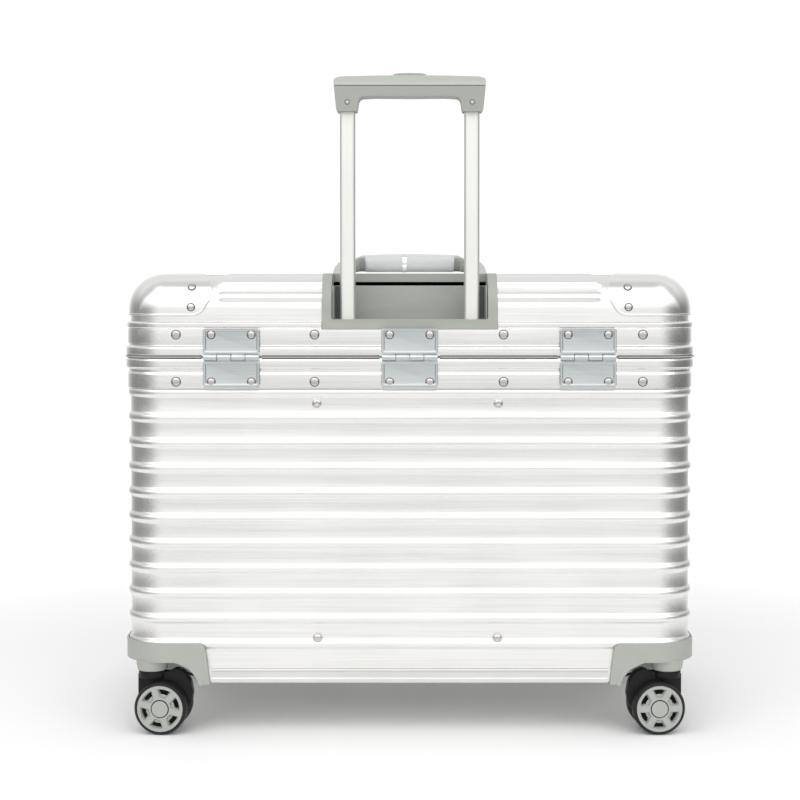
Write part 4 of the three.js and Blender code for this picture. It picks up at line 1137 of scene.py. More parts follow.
def even(path, step, closed=True):
    """A path resampled at even steps, its corners slightly eased."""
    points = [Vector(p) for p in path] + ([Vector(path[0])] if closed else [])
    lengths = [0.0]
    for a, b in zip(points, points[1:]):
        lengths.append(lengths[-1] + (b - a).length)
    count = max(8, int(lengths[-1] / step))
    made, j = [], 0
    for i in range(count if closed else count + 1):
        target = lengths[-1] * i / count
        while j < len(lengths) - 2 and lengths[j + 1] < target:
            j += 1
        share = (target - lengths[j]) / max(1e-9, lengths[j + 1] - lengths[j])
        made.append(points[j].lerp(points[j + 1], share))
    for _ in range(2):
        eased = list(made)
        for i in range(len(made)):
            if closed or 0 < i < len(made) - 1:
                eased[i] = made[i] * 0.5 + (made[i - 1] + made[(i + 1) % len(made)]) * 0.25
        made = eased
    return [tuple(p) for p in made]


def corner_cap(corner):
    sx, sy = CORNERS[corner]
    made = raw(lid_body(CAP_GROW, CAP_BOTTOM, 18), "cap")
    carve(made, [lid_body(GAP, LID_SHELL_BOTTOM, 18)])
    petal = [(sx * (HALF_WIDTH - a), sy * (HALF_DEPTH - b)) for a, b in cap_petal()]
    far_x, far_y = sx * (HALF_WIDTH + 20), sy * (HALF_DEPTH + 20)
    petal += [(far_x, sy * (HALF_DEPTH - CAP_OUTLINE[-1][1])), (far_x, far_y),
              (sx * (HALF_WIDTH - CAP_OUTLINE[0][0]), far_y)]
    carve(made, [prism(petal, 300, 450)], "INTERSECT")
    wedges = []
    for side, half, reach, plan, slant, shift, across, half_across, plane in (
        (sx, HALF_WIDTH, CAP_WALL_REACH_X, CAP_OUTLINE[0][0], 12.0, 10.5, sy, HALF_DEPTH, "xz"),
        (sy, HALF_DEPTH, CAP_WALL_REACH_Y, CAP_OUTLINE[-1][1], 10.0, 9.0, sx, HALF_WIDTH, "yz"),
    ):
        edge, end = half - reach, half - plan - 14
        wedge = [
            (edge, CAP_BOTTOM - 5), (edge, CAP_BOTTOM), (edge - shift, CAP_SLANT_TOP - 3),
            (edge - slant, CAP_SLANT_TOP), (end, CAP_SLANT_TOP), (end, CAP_BOTTOM - 5),
        ]
        wedge = [(side * a, z) for a, z in wedge]
        wedges.append(prism(wedge, *between(across, half_across - 20, half_across + 20), plane))
    carve(made, wedges)
    settle(made, f"cap_{corner}", "lid", "polished_cap", None, [f"corner_cap_{corner}"], 30)
    build = Build().add(tube_along(cap_path(sx, sy, 0.9), 1.15, 10))
    for in_x, z in CAP_RIVETS:
        lift = math.sqrt(max(0.0, (SHOULDER_RADIUS + CAP_GROW) ** 2 - (z - SHOULDER_Z) ** 2))
        normal = Vector((0, lift, z - SHOULDER_Z)).normalized()
        on_back = (sx * (HALF_WIDTH - in_x), sy * (HALF_DEPTH - SHOULDER_RADIUS + lift), z)
        on_side = (sx * (HALF_WIDTH - SHOULDER_RADIUS + lift), sy * (HALF_DEPTH - in_x + 4), z)
        for centre, direction in (
            (on_back, (0, sy * normal.y, normal.z)), (on_side, (sx * normal.y, 0, normal.z)),
        ):
            # each rivet sits in a near-black ring: painted shade round its foot
            build.add(rivet(centre, direction, 3.0, 1.5), 1).add(rivet_shade_ring(centre, direction, 3.0), 2)
    piece(f"cap_edge_{corner}", build, "lid", "polished_cap",
          [MATERIALS["frame_extrusion"], MATERIALS["pin_steel"], RIVET_RING_SHADE], angle=50)


for corner_name in CORNERS:
    corner_cap(corner_name)

# ---- Rivets and screws ----------------------------------------------------------------------------------

LID_STRIP_Z = 345.4
BASE_STRIP_Z = 304.9
BACK_RIVET_XS = (-200.8, -81.8, 80.6, 200.2)
FRONT_RIVET_XS = (-200.8, -81.8, 0.0, 80.6, 200.2)
SIDE_RIVET_YS = (-74.0, 0.0, 74.0)
BACK_SCREWS = [(-80.0, 286.2), (76.2, 286.2), (-79.5, 83.4), (75.6, 83.4)]


def strip_rivets(z, xs_back, name, body):
    face = STRIP_FACE
    build = Build()
    spots = [((x, -HALF_DEPTH - face, z), (0, -1, 0)) for x in xs_back]
    spots += [((x, HALF_DEPTH + face, z), (0, 1, 0)) for x in FRONT_RIVET_XS]
    spots += [((side * (HALF_WIDTH + face), y, z), (side, 0, 0)) for y in SIDE_RIVET_YS for side in (-1, 1)]
    for centre, normal in spots:
        # each rivet sits in a near-black ring: painted shade round its foot
        build.add(rivet(centre, normal)).add(rivet_shade_ring(centre, normal), 1)
    piece(name, build, body, "pin_steel", [MATERIALS["pin_steel"], RIVET_RING_SHADE], angle=40)


strip_rivets(BASE_STRIP_Z, BACK_RIVET_XS, "rivets_base", "base")
strip_rivets(LID_STRIP_Z, BACK_RIVET_XS, "rivets_lid", "lid")
screws = Build()
for screw_x, screw_z in BACK_SCREWS:
    lift = 0.0 if screw_z > 100 else 1.2
    screws.add(socket_screw((screw_x, -HALF_DEPTH - lift, screw_z), (0, -1, 0)))
piece("back_wall_screws", screws, "base", "pin_steel", angle=40)

# ---- Hinges ---------------------------------------------------------------------------------------------

LEAF_NEAR = 3.3  # a leaf's two edges, from the split
LEAF_FAR = 24.8


def hinge_leaf(side_name, x, upper):
    sign = 1 if upper else -1
    near, far = SPLIT + sign * LEAF_NEAR, SPLIT + sign * LEAF_FAR
    low, high = min(near, far), max(near, far)
    half = HINGE_WIDTH / 2
    build = Build()

    def loop(inset, out):
        radius = 2.2 if inset < 1 else 1.2
        edge = rounded(x - half + inset, x + half - inset, low + inset, high - inset, radius)
        return [(a, -out, z) for a, z in edge]

    levels = [(0.25, LEAF_INNER), (0.0, LEAF_INNER + 0.3), (0.0, LEAF_OUTER - 0.35), (0.35, LEAF_OUTER),
              (1.9, LEAF_OUTER), (2.25, LEAF_OUTER - 0.25), (2.5, LEAF_OUTER - 0.9), (3.0, LEAF_OUTER - 1.0)]
    build.add(loft([loop(inset, out) for inset, out in levels]))
    seat_low, seat_high = (338.6, 349.2) if upper else (299.6, 310.4)
    seat_back, seat_face = -LEAF_INNER - 0.4, -HALF_DEPTH - STRIP_FACE - GAP
    build.add(block(x - half + 0.6, x + half - 0.6, seat_back, seat_face, seat_low, seat_high))
    pitch = HINGE_WIDTH / KNUCKLE_COUNT
    for k in range(0 if upper else 1, KNUCKLE_COUNT, 2):
        first, last = x - half + k * pitch + 0.2, x - half + (k + 1) * pitch - 0.2
        build.add(rounded_bar(KNUCKLE_RADIUS, first, last, 0.35, (0, HINGE_AXIS_Y, SPLIT), (1, 0, 0), 32))
        web = sorted((SPLIT + sign * 1.0, near + sign * 1.2))
        build.add(block(first + 0.1, last - 0.1, -LEAF_OUTER + 0.3, -LEAF_INNER - 0.1, *web))
    z = LID_STRIP_Z if upper else BASE_STRIP_Z
    for side in (-1, 1):
        head = (x + side * 17.2, -LEAF_OUTER + 0.9, z)
        # each rivet sits in a near-black ring: painted shade round its foot
        build.add(rivet(head, (0, -1, 0), 3.2, 1.35), 1).add(rivet_shade_ring(head, (0, -1, 0), 3.2), 2)
    level = "upper" if upper else "lower"
    piece(f"leaf_{level}_{side_name}", build, "lid" if upper else "base", "hinge_metal",
          [MATERIALS["hinge_metal"], MATERIALS["pin_steel"], RIVET_RING_SHADE], [f"hinge_{level}_{side_name}"], 35)


for side_name, hinge_x in HINGE_XS.items():
    hinge_leaf(side_name, hinge_x, True)
    hinge_leaf(side_name, hinge_x, False)
    ends = (hinge_x - HINGE_WIDTH / 2, hinge_x + HINGE_WIDTH / 2)
    hinge_pin = rounded_bar(1.3, *ends, 0.3, (0, HINGE_AXIS_Y, SPLIT), (1, 0, 0), 20)
    piece(f"pin_{side_name}", hinge_pin, "base", "pin_steel", replaced=[f"hinge_pin_{side_name}"])

# ---- Handle well ----------------------------------------------------------------------------------------

BEZEL_BOTTOM = 350.0
SILL_TOP = 358.4
RIM_LOW = 390.5
RIM_WALL = 1.9


def bezel():
    lap = NOTCH_FRONT_Y + 7
    outline = fillet([
        (-BEZEL_OUTER, -PAST, 0), (BEZEL_OUTER, -PAST, 0), (BEZEL_OUTER, lap, 4), (-BEZEL_OUTER, lap, 4),
    ], 4, 6)
    made = raw(lid_body(BEZEL_PROUD, BEZEL_BOTTOM, 18), "bezel")
    carve(made, [lid_body(GAP, BEZEL_BOTTOM - 1, 18)])
    carve(made, [prism(outline, 340, 470)], "INTERSECT")
    rim = raw(lid_body(BEZEL_PROUD, BEZEL_BOTTOM, 18), "rim")
    outside = BEZEL_INNER + RIM_WALL
    carve(rim, [block(-outside, outside, -PAST, NOTCH_FRONT_Y + RIM_WALL, SILL_TOP, 470)], "INTERSECT")
    carve(rim, [block(-300, 300, NOTCH_FRONT_Y - 1, 0, 300, RIM_LOW)])
    carve(made, [shape_of(rim)], "UNION")
    bpy.data.objects.remove(rim)
    opening = fillet([
        (-BEZEL_INNER, SILL_TOP, 1.6), (BEZEL_INNER, SILL_TOP, 1.6),
        (BEZEL_INNER, 480, 0), (-BEZEL_INNER, 480, 0),
    ], 1.6, 5)
    carve(made, [prism(opening, -PAST, NOTCH_FRONT_Y, "xz")])
    clean_flat(made)
    settle(made, "well_surround", "lid", "grey_plastic", None, ["well_bezel"], 32)
    soften(made, 0.5, 40)


bezel()


def tube_outline(x, grow):
    a, b = TUBE_WIDTH / 2 + grow, TUBE_DEPTH / 2 + grow
    return rounded(x - a, x + a, TUBE_Y - b, TUBE_Y + b, 3.2 + grow / 2, 6)


def tower():
    """The tower under the well, open at the back and above, with its tube collars and dark side plates that
    paint the shade on the well's side walls.
    """
    half = TOWER_HALF_WIDTH
    made = raw(block(-half, half, TOWER_BACK_Y, TOWER_FRONT_Y, TOWER_BASE, TOWER_TOP), "tower")
    inner = half - TOWER_WALL
    opening = fillet([
        (-inner, WELL_FLOOR, 3), (inner, WELL_FLOOR, 3), (inner, 420, 0), (-inner, 420, 0),
    ], 3, 6)
    carve(made, [prism(opening, -PAST, TOWER_FRONT_Y - TOWER_WALL, "xz")])
    holes = []
    for x in (-TUBE_X, TUBE_X):
        holes.append(prism(tube_outline(x, RUNNING_GAP), 250, 400))
        holes.append(prism(tube_outline(x, 2.0), 250, WELL_FLOOR - 0.9))
    carve(made, holes)
    carve(made, [block(-inner, inner, -101.0, -79.8, 250, 354), block(-40, 40, -PAST, -79.8, 250, 354)])
    settle(made, "tower_shell", "base", "grey_plastic", None, ["handle_tower"], 32)
    soften(made, 0.4, 40)
    collars = Build()
    for x in (-TUBE_X, TUBE_X):
        levels = [(2.4, 0.0), (2.4, 0.9), (2.0, 1.2), (0.7, 1.2), (RUNNING_GAP, 0.9), (RUNNING_GAP, 0.0)]
        loops = [at_level(tube_outline(x, grow), WELL_FLOOR + rise) for grow, rise in levels]
        collars.add(loft(loops, closed=True))
    piece("tube_collars", collars, "base", "grey_plastic", [MATERIALS["cover_plastic"]])
    # dark plates on the well's side walls: painted shade for the shadow that falls there
    side_shade_plates = Build()
    for side in (-1, 1):
        plate = fillet([(60.6, -79.8), (60.6, -80.9), (64.2, -80.9), (65.4, -82.4), (65.4, -79.8)], 0.3, 3)
        plate = [(side * x, y) for x, y in plate]
        side_shade_plates.add(loft([at_level(plate, z) for z in (WELL_FLOOR + 0.3, TOWER_TOP - 0.7)]))
    piece("well_side_shade_plates", side_shade_plates, "base", "grey_plastic", [MATERIALS["cover_plastic"]])


tower()


def pull_tubes():
    for side_name, x in (("left", -TUBE_X), ("right", TUBE_X)):
        levels = [TUBE_BOTTOM, TUBE_BOTTOM + 2, 360, 420, 480, 540, TUBE_TOP]
        build = Build().add(loft([at_level(tube_outline(x, 0.0), z) for z in levels]))
        foot = [at_level(tube_outline(x, 0.25), z) for z in (TUBE_BOTTOM, TUBE_BOTTOM + 10)]
        build.add(loft(foot), 1)
        piece(f"tube_{side_name}", build, "pull_handle", "tube_aluminium",
              [MATERIALS["tube_aluminium"], MATERIALS["dark_plastic"]], [f"pull_tube_{side_name}"], 40)
        guide = [(1.7, 80), (1.7, 356), (RUNNING_GAP, 356), (RUNNING_GAP, 80)]
        shape = loft([at_level(tube_outline(x, grow), z) for grow, z in guide], closed=True)
        piece(f"guide_{side_name}", shape, "base", "pin_steel", replaced=[f"sleeve_{side_name}"])


pull_tubes()

# ---- Pull grip ------------------------------------------------------------------------------------------

PARTING_Z = 559.2
PIN_Z = 544.8
CROWN_STEPS = 24
BUTTON_HALF_WIDTH = 14.5
BUTTON_SHOULDER = 568.8


def grip():
    half, inner = GRIP_HALF_WIDTH, GRIP_LEG_INNER
    crown = []
    for k in range(1, CROWN_STEPS):
        share = 1 - 2 * k / CROWN_STEPS
        crown.append((half * share, GRIP_TOP - 1.2 + 1.2 * (1 - share ** 2)))
    lower = fillet([
        (-half + 2.4, GRIP_LEG_BOTTOM, 2.5), (-inner - 2.0, GRIP_LEG_BOTTOM, 2.0),
        (-inner, GRIP_BAR_BOTTOM - 1.0, 5.0), (-30, GRIP_BAR_BOTTOM - 0.3, 12),
        (0, GRIP_BAR_BOTTOM - 0.6, 10), (30, GRIP_BAR_BOTTOM - 0.3, 12), (inner, GRIP_BAR_BOTTOM - 1.0, 5.0),
        (inner + 2.0, GRIP_LEG_BOTTOM, 2.0), (half - 2.4, GRIP_LEG_BOTTOM, 2.5),
        (half - 0.2, PARTING_Z - 0.25, 0.5), (-half + 0.2, PARTING_Z - 0.25, 0.5),
    ], 2.0, 6)
    upper = fillet([
        (-half + 0.2, PARTING_Z + 0.25, 0.5), (half - 0.2, PARTING_Z + 0.25, 0.5),
        (half, GRIP_TOP - 2.6, 3.0), *crown, (-half, GRIP_TOP - 2.6, 3.0),
    ], 2.0, 5)
    back, front = TUBE_Y - GRIP_DEPTH / 2, TUBE_Y + GRIP_DEPTH / 2
    low = raw(prism(lower, back, front, "xz"), "grip_low")
    pockets = [prism(tube_outline(x, 0.3), 500, TUBE_TOP + 0.3) for x in (-TUBE_X, TUBE_X)]
    pins = [lathe([(2.4, -3.0), (2.4, 1.2)], (x, back, PIN_Z), (0, 1, 0), 28) for x in (-TUBE_X, TUBE_X)]
    carve(low, pockets)
    carve(low, pins)
    carve(low, [block(-15, 15, TUBE_Y - 6.5, TUBE_Y + 6.5, 560, 580)])
    settle(low, "grip_lower", "pull_handle", "grey_plastic", None, ["pull_grip"], 32)
    soften(low, 2.2, 50, 5)
    high = raw(prism(upper, back, front, "xz"), "grip_high")
    carve(high, [prism(rounded(-15, 15, TUBE_Y - 6.5, TUBE_Y + 6.5, 3, 5), 550, 580)])
    settle(high, "grip_upper", "pull_handle", "grey_plastic", [GRIP_TOP_GREY], (), 32)
    soften(high, 2.2, 50, 5)
    belt = rounded(-half, half, PARTING_Z - 2.5, PARTING_Z + 2.5, 2, 3)
    core = prism(shrunk(belt, 1.4), back + 1.2, front - 1.2, "xz")
    seam = raw(core, "grip_seam")
    carve(seam, [block(-15.2, 15.2, TUBE_Y - 6.7, TUBE_Y + 6.7, 540, 580)])
    settle(seam, "grip_seam", "pull_handle", "grey_plastic", [MATERIALS["cover_plastic"]], ())
    heads = Build()
    for x in (-TUBE_X, TUBE_X):
        heads.add(rivet((x, back + 0.9, PIN_Z), (0, -1, 0), 1.5, 0.8, 24))
    piece("grip_pins", heads, "pull_handle", "pin_steel")
    wide = BUTTON_HALF_WIDTH
    outline = [(wide, 563.2), (wide, 568.6)]
    for k in range(1, 20):
        turn = math.pi * k / 20
        swell = (BUTTON_TOP - BUTTON_SHOULDER) * math.sin(turn) ** 0.6
        outline.append((wide * math.cos(turn), BUTTON_SHOULDER + swell))
    outline += [(-wide, 568.6), (-wide, 563.2)]
    button = raw(prism(outline, TUBE_Y - 6, TUBE_Y + 6, "xz"), "button")
    settle(button, "button", "grip_button", "grey_plastic", None, ["grip_button"], 32)
    soften(button, 1.2, 50, 4)


grip()

# ---- Carry handle ---------------------------------------------------------------------------------------

ACROSS = Vector((0, 1, 0))
UP = Vector((0, 0, 1))


def section_loop(centre, side, up, half_w, half_h, count=20, power=2.6):
    """A rounded box section round a centre, across side and up."""
    loop = []
    for k in range(count):
        angle = 2 * math.pi * k / count
        c, s = math.cos(angle), math.sin(angle)
        w = math.copysign(abs(c) ** (2 / power), c) * half_w
        h = math.copysign(abs(s) ** (2 / power), s) * half_h
        loop.append(tuple(centre + side * w + up * h))
    return loop


def cross_section(x, y, half_y, low, high, power):
    """A rounded box section across Y, between two heights."""
    return section_loop(Vector((x, y, (low + high) / 2)), ACROSS, UP, half_y, (high - low) / 2, 32, power)


def bail_arms(z):
    """The bail's frame: a bent bar with round ends on its two pivot pins."""
    outer = BAIL_HALF_WIDTH - BAIL_ARM / 2
    path = [
        (-outer, -2), (-outer, 8), (-outer, 18), (-outer + 0.5, 26), (-outer + 3.5, 33), (-outer + 8.5, 37.5),
        (-outer + 14, 39.3), (-34, BAIL_REACH), (-20, BAIL_REACH), (0, BAIL_REACH),
    ]
    path += [(-a, b) for a, b in path[-2::-1]]
    loops = []
    for i, (x, y) in enumerate(path):
        before, after = Vector(path[max(0, i - 1)]), Vector(path[min(len(path) - 1, i + 1)])
        tangent = (after - before).normalized()
        side = Vector((-tangent.y, tangent.x, 0))
        rise = smooth_step(20.0, 39.0, y)
        centre = Vector((x, y, z - 0.6 + 2.7 * rise))
        loops.append(section_loop(centre, side, UP, 5.3, 4.5 + 2.3 * rise, 24))
    build = Build().add(loft(loops))
    for side in (-1, 1):
        xs = between(side, BAIL_HALF_WIDTH - BAIL_ARM, BAIL_HALF_WIDTH)
        build.add(rounded_bar(5.5, *xs, 0.6, (0, 0, z), (1, 0, 0), 40))
        pin = between(side, BAIL_HALF_WIDTH - 3, BAIL_HALF_WIDTH + 3.2)
        build.add(rounded_bar(3.0, *pin, 0.3, (0, 0, z), (1, 0, 0), 28))
    piece("bail", build, "carry_handle", "grey_plastic", [BAIL_FRAME_GREY], ["carry_handle"], 50)


def bail_grip():
    """The soft grip on the bail, with the saddles at its ends and the bright band round its middle."""
    pad = [  # x, half depth, bottom, top
        (-43.2, 5.4, 402.4, 412.5), (-42.8, 7.2, 401.0, 415.4), (-41.8, 8.2, 400.4, 416.4),
        (-40.2, 8.6, 400.2, 416.7), (-36.0, 8.8, 400.2, 416.9), (-20.0, 9.0, 400.2, 417.4),
        (0.0, 9.0, 400.2, 417.6),
    ]
    pad += [(-x, *rest) for x, *rest in pad[-2::-1]]
    loops = [cross_section(x, BAIL_REACH, *rest, 2.4) for x, *rest in pad]
    piece("bail_grip", loft(loops), "carry_handle", "grey_plastic", [BAIL_SKIN], angle=50)
    saddle = [
        (60.0, 3.0, 404.0, 407.5), (56.0, 4.6, 403.0, 411.0), (50.0, 5.8, 402.0, 414.4),
        (46.0, 6.3, 401.6, 416.2), (42.6, 6.4, 401.4, 416.6),
    ]
    ends = Build()
    for side in (-1, 1):
        ends.add(loft([cross_section(side * x, BAIL_REACH + 2, *rest, 2.6) for x, *rest in saddle]))
    piece("bail_saddles", ends, "carry_handle", "grey_plastic", [GRIP_TOP_GREY], angle=50)
    hoop = []
    for x, grow in ((-7.0, 0.0), (-6.8, 0.35), (-3.0, 0.35), (-2.8, 0.0)):
        centre = Vector((x, BAIL_REACH, 408.9))
        hoop.append(section_loop(centre, ACROSS, UP, 8.97 + grow, 8.65 + grow, 32, 2.4))
    piece("bail_band", loft(hoop), "carry_handle", "grey_plastic", [MATERIALS["polished_cap"]], angle=50)


def bail_bracket(side_name, side, z):
    """One bracket on the lid, bored for the bail's pin."""
    outline = fillet([
        (-12, 396.3, 0.6), (12, 396.3, 0.6), (11, 398.4, 2), (6.5, 408, 4), (3, 411, 3), (-3, 411, 3),
        (-6.5, 408, 4), (-11, 398.4, 2),
    ], 2, 5)
    xs = between(side, BAIL_HALF_WIDTH + GAP, BAIL_HALF_WIDTH + 13)
    made = raw(prism(outline, *xs, "yz"), "bracket")
    foot, tip = BAIL_HALF_WIDTH + 14, BAIL_HALF_WIDTH - 1
    roof = [
        (tip, 411.6), (62.5, 410.9), (66.5, 408.4), (69.5, 404.6), (71.2, 399.5), (foot, 399.5),
        (foot, 420.0), (tip, 420.0),
    ]
    carve(made, [prism([(side * a, top) for a, top in roof], -20, 20, "xz")])
    hole = between(side, 50, 62)
    carve(made, [lathe([(3.4, hole[0]), (3.4, hole[1])], (0, 0, z), (1, 0, 0), 28)])
    name = f"bail_bracket_{side_name}"
    settle(made, name, "lid", "grey_plastic", [GRIP_TOP_GREY], [f"carry_mount_{side_name}"], 32)
    soften(made, 0.8, 45, 4)


bail_arms(BAIL_PIVOT_Z)
bail_grip()
for side_name, side_sign in (("left", -1), ("right", 1)):
    bail_bracket(side_name, side_sign, BAIL_PIVOT_Z)

# ---- Front latches --------------------------------------------------------------------------------------

LOCK_FACE = 129.8
FLAP_FACE = 131.6
FLAP_AXIS = (0, 129.95, 345.0)


def latch(side_name, x):
    """A lock case with its slider on the base, the striker on the lid, and the flap between them."""
    case = rounded(x - 25, x + 25, 282, 314, 2.5, 6)
    made = raw(prism(case, HALF_DEPTH + 2.8, LOCK_FACE, "xz"), "lock")
    carve(made, [prism(rounded(x - 12, x + 12, 287, 292, 1.5), 100, 140, "xz")])
    settle(made, f"lock_{side_name}", "base", "hinge_metal", None, [f"lock_case_{side_name}"], 32)
    soften(made, 0.6, 45, 4)
    slider = Build()
    slider.add(prism(rounded(x - 11.5, x + 5.5, 287.4, 291.6, 1.2), 126.5, 130.8, "xz"))
    slider.add(prism(rounded(x - 10, x + 4, 285.5, 293.5, 2.2, 5), 130.1, 132.0, "xz", 0.5))
    for k in range(4):
        slider.add(rounded_bar(0.45, 286.7, 292.3, 0.15, (x - 6.4 + 2.3 * k, 131.55, 0), (0, 0, 1), 14))
    piece(f"slider_{side_name}", slider, f"lock_slider_{side_name}", "polished_cap",
          replaced=[f"lock_slider_{side_name}"], angle=40)
    plate = Build()
    plate.add(prism(rounded(x - 24, x + 24, 339, 349.5, 1.8, 5), 125.8, 127.3, "xz", 0.35))
    for side in (-1, 1):
        ear = sorted((x + side * 11, x + side * 19))
        plate.add(rounded_bar(2.1, *ear, 0.3, FLAP_AXIS, (1, 0, 0), 28))
        plate.add(block(ear[0] + 0.1, ear[1] - 0.1, 127.0, 129.9, 343.6, 346.8))
        plate.add(rivet((x + side * 21.6, 127.2, 344.2), (0, 1, 0), 1.5, 0.9, 20), 1)
    piece(f"striker_{side_name}", plate, "lid", "hinge_metal",
          [MATERIALS["hinge_metal"], MATERIALS["pin_steel"]], [f"latch_plate_{side_name}"], 40)
    outline = fillet([
        (x - 19, 298, 3.5), (x + 19, 298, 3.5), (x + 19, 341, 2.5), (x + 10.7, 341, 0.8),
        (x + 10.7, 345.5, 0.5), (x - 10.7, 345.5, 0.5), (x - 10.7, 341, 0.8), (x - 19, 341, 2.5),
    ], 2, 6)
    flap = Build().add(prism(outline, 130.2, FLAP_FACE, "xz", 0.35))
    panel = rounded(x - 16, x + 16, 306, 337.5, 2.5, 6)
    flap.add(prism(panel, 131.3, FLAP_FACE + 0.45, "xz", 0.4))
    flap.add(rounded_bar(1.0, x - 15.5, x + 15.5, 0.4, (0, 131.05, 301.6), (1, 0, 0), 20))
    flap.add(rounded_bar(2.1, x - 10.7, x + 10.7, 0.3, FLAP_AXIS, (1, 0, 0), 28))
    flap.add(rounded_bar(1.1, x - 19, x + 19, 0.2, FLAP_AXIS, (1, 0, 0), 20), 1)
    piece(f"flap_{side_name}", flap, f"latch_flap_{side_name}", "polished_cap",
          [MATERIALS["polished_cap"], MATERIALS["pin_steel"]], [f"latch_flap_{side_name}"], 40)


for side_name, latch_x in LATCH_XS.items():
    latch(side_name, latch_x)

# ---- Lining, inside -------------------------------------------------------------------------------------

LINING_OUT = -2.3
LINING_THICK = 1.4
LINING_TOP = 311.8
QUILT_RISE = 1.6
QUILT_SAMPLES = 8
COVER_SIDE = 86.5
COVER_FRONT = -99.5
TOWER_ROOM = (-67.6, 67.6, -200, -77.7, 299.2)
COVER_HALF_WIDTH = 87.8
COVER_FLUTES = (-60, -30, 0, 30, 60)


def quilted_wall():
    """Columns round the tub, stepping in round the handle cover, with each one's share of a sewn swell."""
    reach_x, reach_y = HALF_WIDTH - PLAN_RADIUS, HALF_DEPTH - PLAN_RADIUS
    made = []

    def swell(share, tubes):
        return abs(math.sin(math.pi * share * tubes)) ** 0.6

    def straight(first, last, normal, tubes, start_normal=None):
        for k in range(tubes * QUILT_SAMPLES):
            share = k / (tubes * QUILT_SAMPLES)
            x, y = first[0] + (last[0] - first[0]) * share, first[1] + (last[1] - first[1]) * share
            here = start_normal if k == 0 and start_normal else normal
            made.append((x, y, *here, swell(share, tubes)))

    def corner(sx, sy, quarter):
        for k in range(12):
            angle = math.pi / 2 * (quarter + k / 12)
            nx, ny = math.cos(angle), math.sin(angle)
            x, y = sx * reach_x + PLAN_RADIUS * nx, sy * reach_y + PLAN_RADIUS * ny
            made.append((x, y, nx, ny, swell(k / 12, 1)))

    corner(1, 1, 0)
    straight((reach_x, HALF_DEPTH), (-reach_x, HALF_DEPTH), (0, 1), 10)
    corner(-1, 1, 1)
    straight((-HALF_WIDTH, reach_y), (-HALF_WIDTH, -reach_y), (-1, 0), 4)
    corner(-1, -1, 2)
    straight((-reach_x, -HALF_DEPTH), (-COVER_SIDE, -HALF_DEPTH), (0, -1), 3)
    straight((-COVER_SIDE, -HALF_DEPTH), (-COVER_SIDE, COVER_FRONT), (1, 0), 1, (1, -1))
    straight((-COVER_SIDE, COVER_FRONT), (COVER_SIDE, COVER_FRONT), (0, -1), 4, (1, -1))
    straight((COVER_SIDE, COVER_FRONT), (COVER_SIDE, -HALF_DEPTH), (-1, 0), 1, (-1, -1))
    straight((COVER_SIDE, -HALF_DEPTH), (reach_x, -HALF_DEPTH), (0, -1), 3, (-1, -1))
    corner(1, -1, 3)
    straight((HALF_WIDTH, -reach_y), (HALF_WIDTH, reach_y), (1, 0), 4)
    return made


def tub_lining():
    wall = quilted_wall()
    floor = CASE_BOTTOM + SHEET + 0.7

    def loop(out, z, rise=0.0):
        return [at(column, out - rise * column[4], z) for column in wall]

    inner = LINING_OUT - LINING_THICK
    levels = [LINING_TOP - 12 - k * (LINING_TOP - 12 - floor - 8) / 24 for k in range(25)]
    loops = [loop(LINING_OUT - 3, floor), loop(LINING_OUT, floor + 2), loop(LINING_OUT, LINING_TOP)]
    loops += [loop(inner, LINING_TOP), loop(inner, LINING_TOP - 7)]
    for z in levels:
        taper = min(1.0, (LINING_TOP - 7 - z) / 10, (z - floor - 3) / 12)
        loops.append(loop(inner, z, QUILT_RISE * math.sqrt(max(0.0, taper))))
    loops += [loop(inner, floor + 4), loop(inner - 3, floor + LINING_THICK)]
    made = raw(loft(loops), "tub_lining")
    carve(made, [well_dome(corner, WELL_WALL + 1.4) for corner in CORNERS])
    carve(made, [block(*TOWER_ROOM, LINING_TOP + 5)])
    settle(made, "tub_lining", "base", "lining_fabric", None, ["base_lining"], 50)
    rim = [at(column, LINING_OUT - LINING_THICK, LINING_TOP - 1.2) for column in wall]
    rim = [p for p in rim if abs(p[0]) > 72 or p[1] > -70]
    piping = tube_along(even(rim, 5.0, False), 1.1, 10, False)
    piece("tub_piping", piping, "base", "lining_fabric", [PIPING], angle=60)


def cell_solid(xs, ys, keep, top, bottom):
    """A closed solid over the kept cells of a grid, between two height functions."""
    points, faces, index = [], [], {}

    def corner(i, j, level):
        if (i, j, level) not in index:
            index[i, j, level] = len(points)
            points.append((xs[i], ys[j], (bottom, top)[level](xs[i], ys[j])))
        return index[i, j, level]

    cells = {
        (i, j) for i in range(len(xs) - 1) for j in range(len(ys) - 1)
        if keep((xs[i] + xs[i + 1]) / 2, (ys[j] + ys[j + 1]) / 2)
    }
    for i, j in cells:
        around = [(i, j), (i + 1, j), (i + 1, j + 1), (i, j + 1)]
        faces.append([corner(a, b, 1) for a, b in around])
        faces.append([corner(a, b, 0) for a, b in around[::-1]])
        sides = (((i, j - 1), 0, 1), ((i + 1, j), 1, 2), ((i, j + 1), 2, 3), ((i - 1, j), 3, 0))
        for beside, first, second in sides:
            if beside not in cells:
                a, b = around[first], around[second]
                faces.append([corner(*a, 0), corner(*b, 0), corner(*b, 1), corner(*a, 1)])
    return points, faces


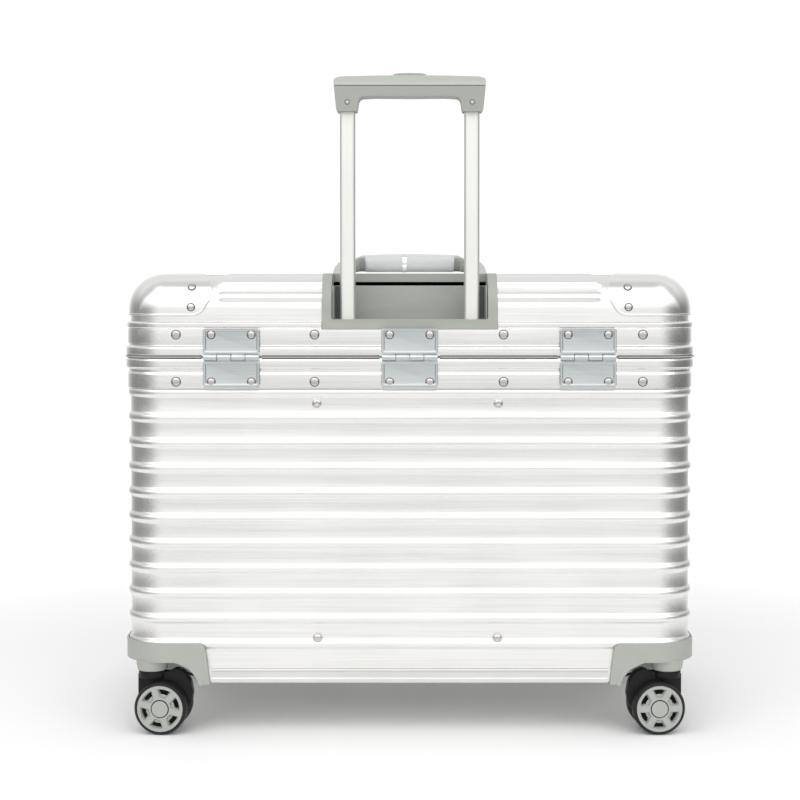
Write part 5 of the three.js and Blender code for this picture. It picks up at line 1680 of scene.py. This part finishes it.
def lid_board():
    """The padded board under the lid's top: flat where it lies on the sheet, crowned and channelled below."""
    half_x, half_y, notch_x, notch_y = 213.0, 91.0, 77.0, -67.5
    top_z, rim_z, rise = LID_TOP - SHEET - 0.5, 392.4, 4.4
    tubes = 6

    def spaced(low, high, count):
        return [low + (high - low) * k / count for k in range(count + 1)]

    xs = spaced(-half_x, -notch_x, 20)[:-1] + spaced(-notch_x, notch_x, 24)[:-1]
    xs += spaced(notch_x, half_x, 20)
    ys = spaced(-half_y, notch_y, 6)[:-1] + spaced(notch_y, half_y, tubes * 8)
    pitch = (half_y - notch_y) / tubes

    def lower(x, y):
        edge = min(half_x - abs(x), half_y - abs(y))
        past = max(abs(x) - notch_x, y - notch_y)
        crown = math.sqrt(min(1.0, max(0.0, min(edge, past)) / 22))
        tube = abs(math.sin(math.pi * (y - notch_y) / pitch)) ** 0.6
        return rim_z - rise * crown * (0.35 + 0.65 * tube)

    shape = cell_solid(xs, ys, lambda x, y: abs(x) > notch_x or y > notch_y, lambda x, y: top_z, lower)
    board = piece("lid_board", shape, "lid", "lining_fabric", replaced=["lid_lining"], angle=70)
    rim = [(-half_x, -half_y), (-notch_x, -half_y), (-notch_x, notch_y), (notch_x, notch_y),
           (notch_x, -half_y), (half_x, -half_y), (half_x, half_y), (-half_x, half_y)]
    piping = tube_along(even([(x, y, rim_z) for x, y in fillet(rim, 5, 5)], 4.0), 1.2, 10)
    piece("lid_board_piping", piping, "lid", "lining_fabric", [PIPING], angle=60)


def cover():
    """The tray over the tubes' guides, with shallow flutes down its front."""
    back, front = -HALF_DEPTH + SHEET + GAP, -98.2
    low, high = CASE_BOTTOM + SHEET + GAP, 299.6
    made = raw(block(-COVER_HALF_WIDTH, COVER_HALF_WIDTH, back, front, low, high), "cover")
    cuts = [block(-85.5, 85.5, back - 1, front - 2.5, low + 2.5, high + 1)]
    cuts += [block(x - 9, x + 9, front - 1.0, front + 1, low + 18, high - 18) for x in COVER_FLUTES]
    carve(made, cuts)
    settle(made, "tray_cover", "base", "cover_plastic", None, ["handle_cover"], 32)
    soften(made, 0.6, 40)


tub_lining()
lid_board()
cover()

# ---- Finish of the CAD parts left showing ---------------------------------------------------------------

SLOTS = {part["node"]: part["material_slot"] for part in frame["record"]["subparts"]}
for name, obj in frame["nodes"].items():
    if not obj.hide_render:
        obj.data.materials.clear()
        obj.data.materials.append(MATERIALS[SLOTS[name]])
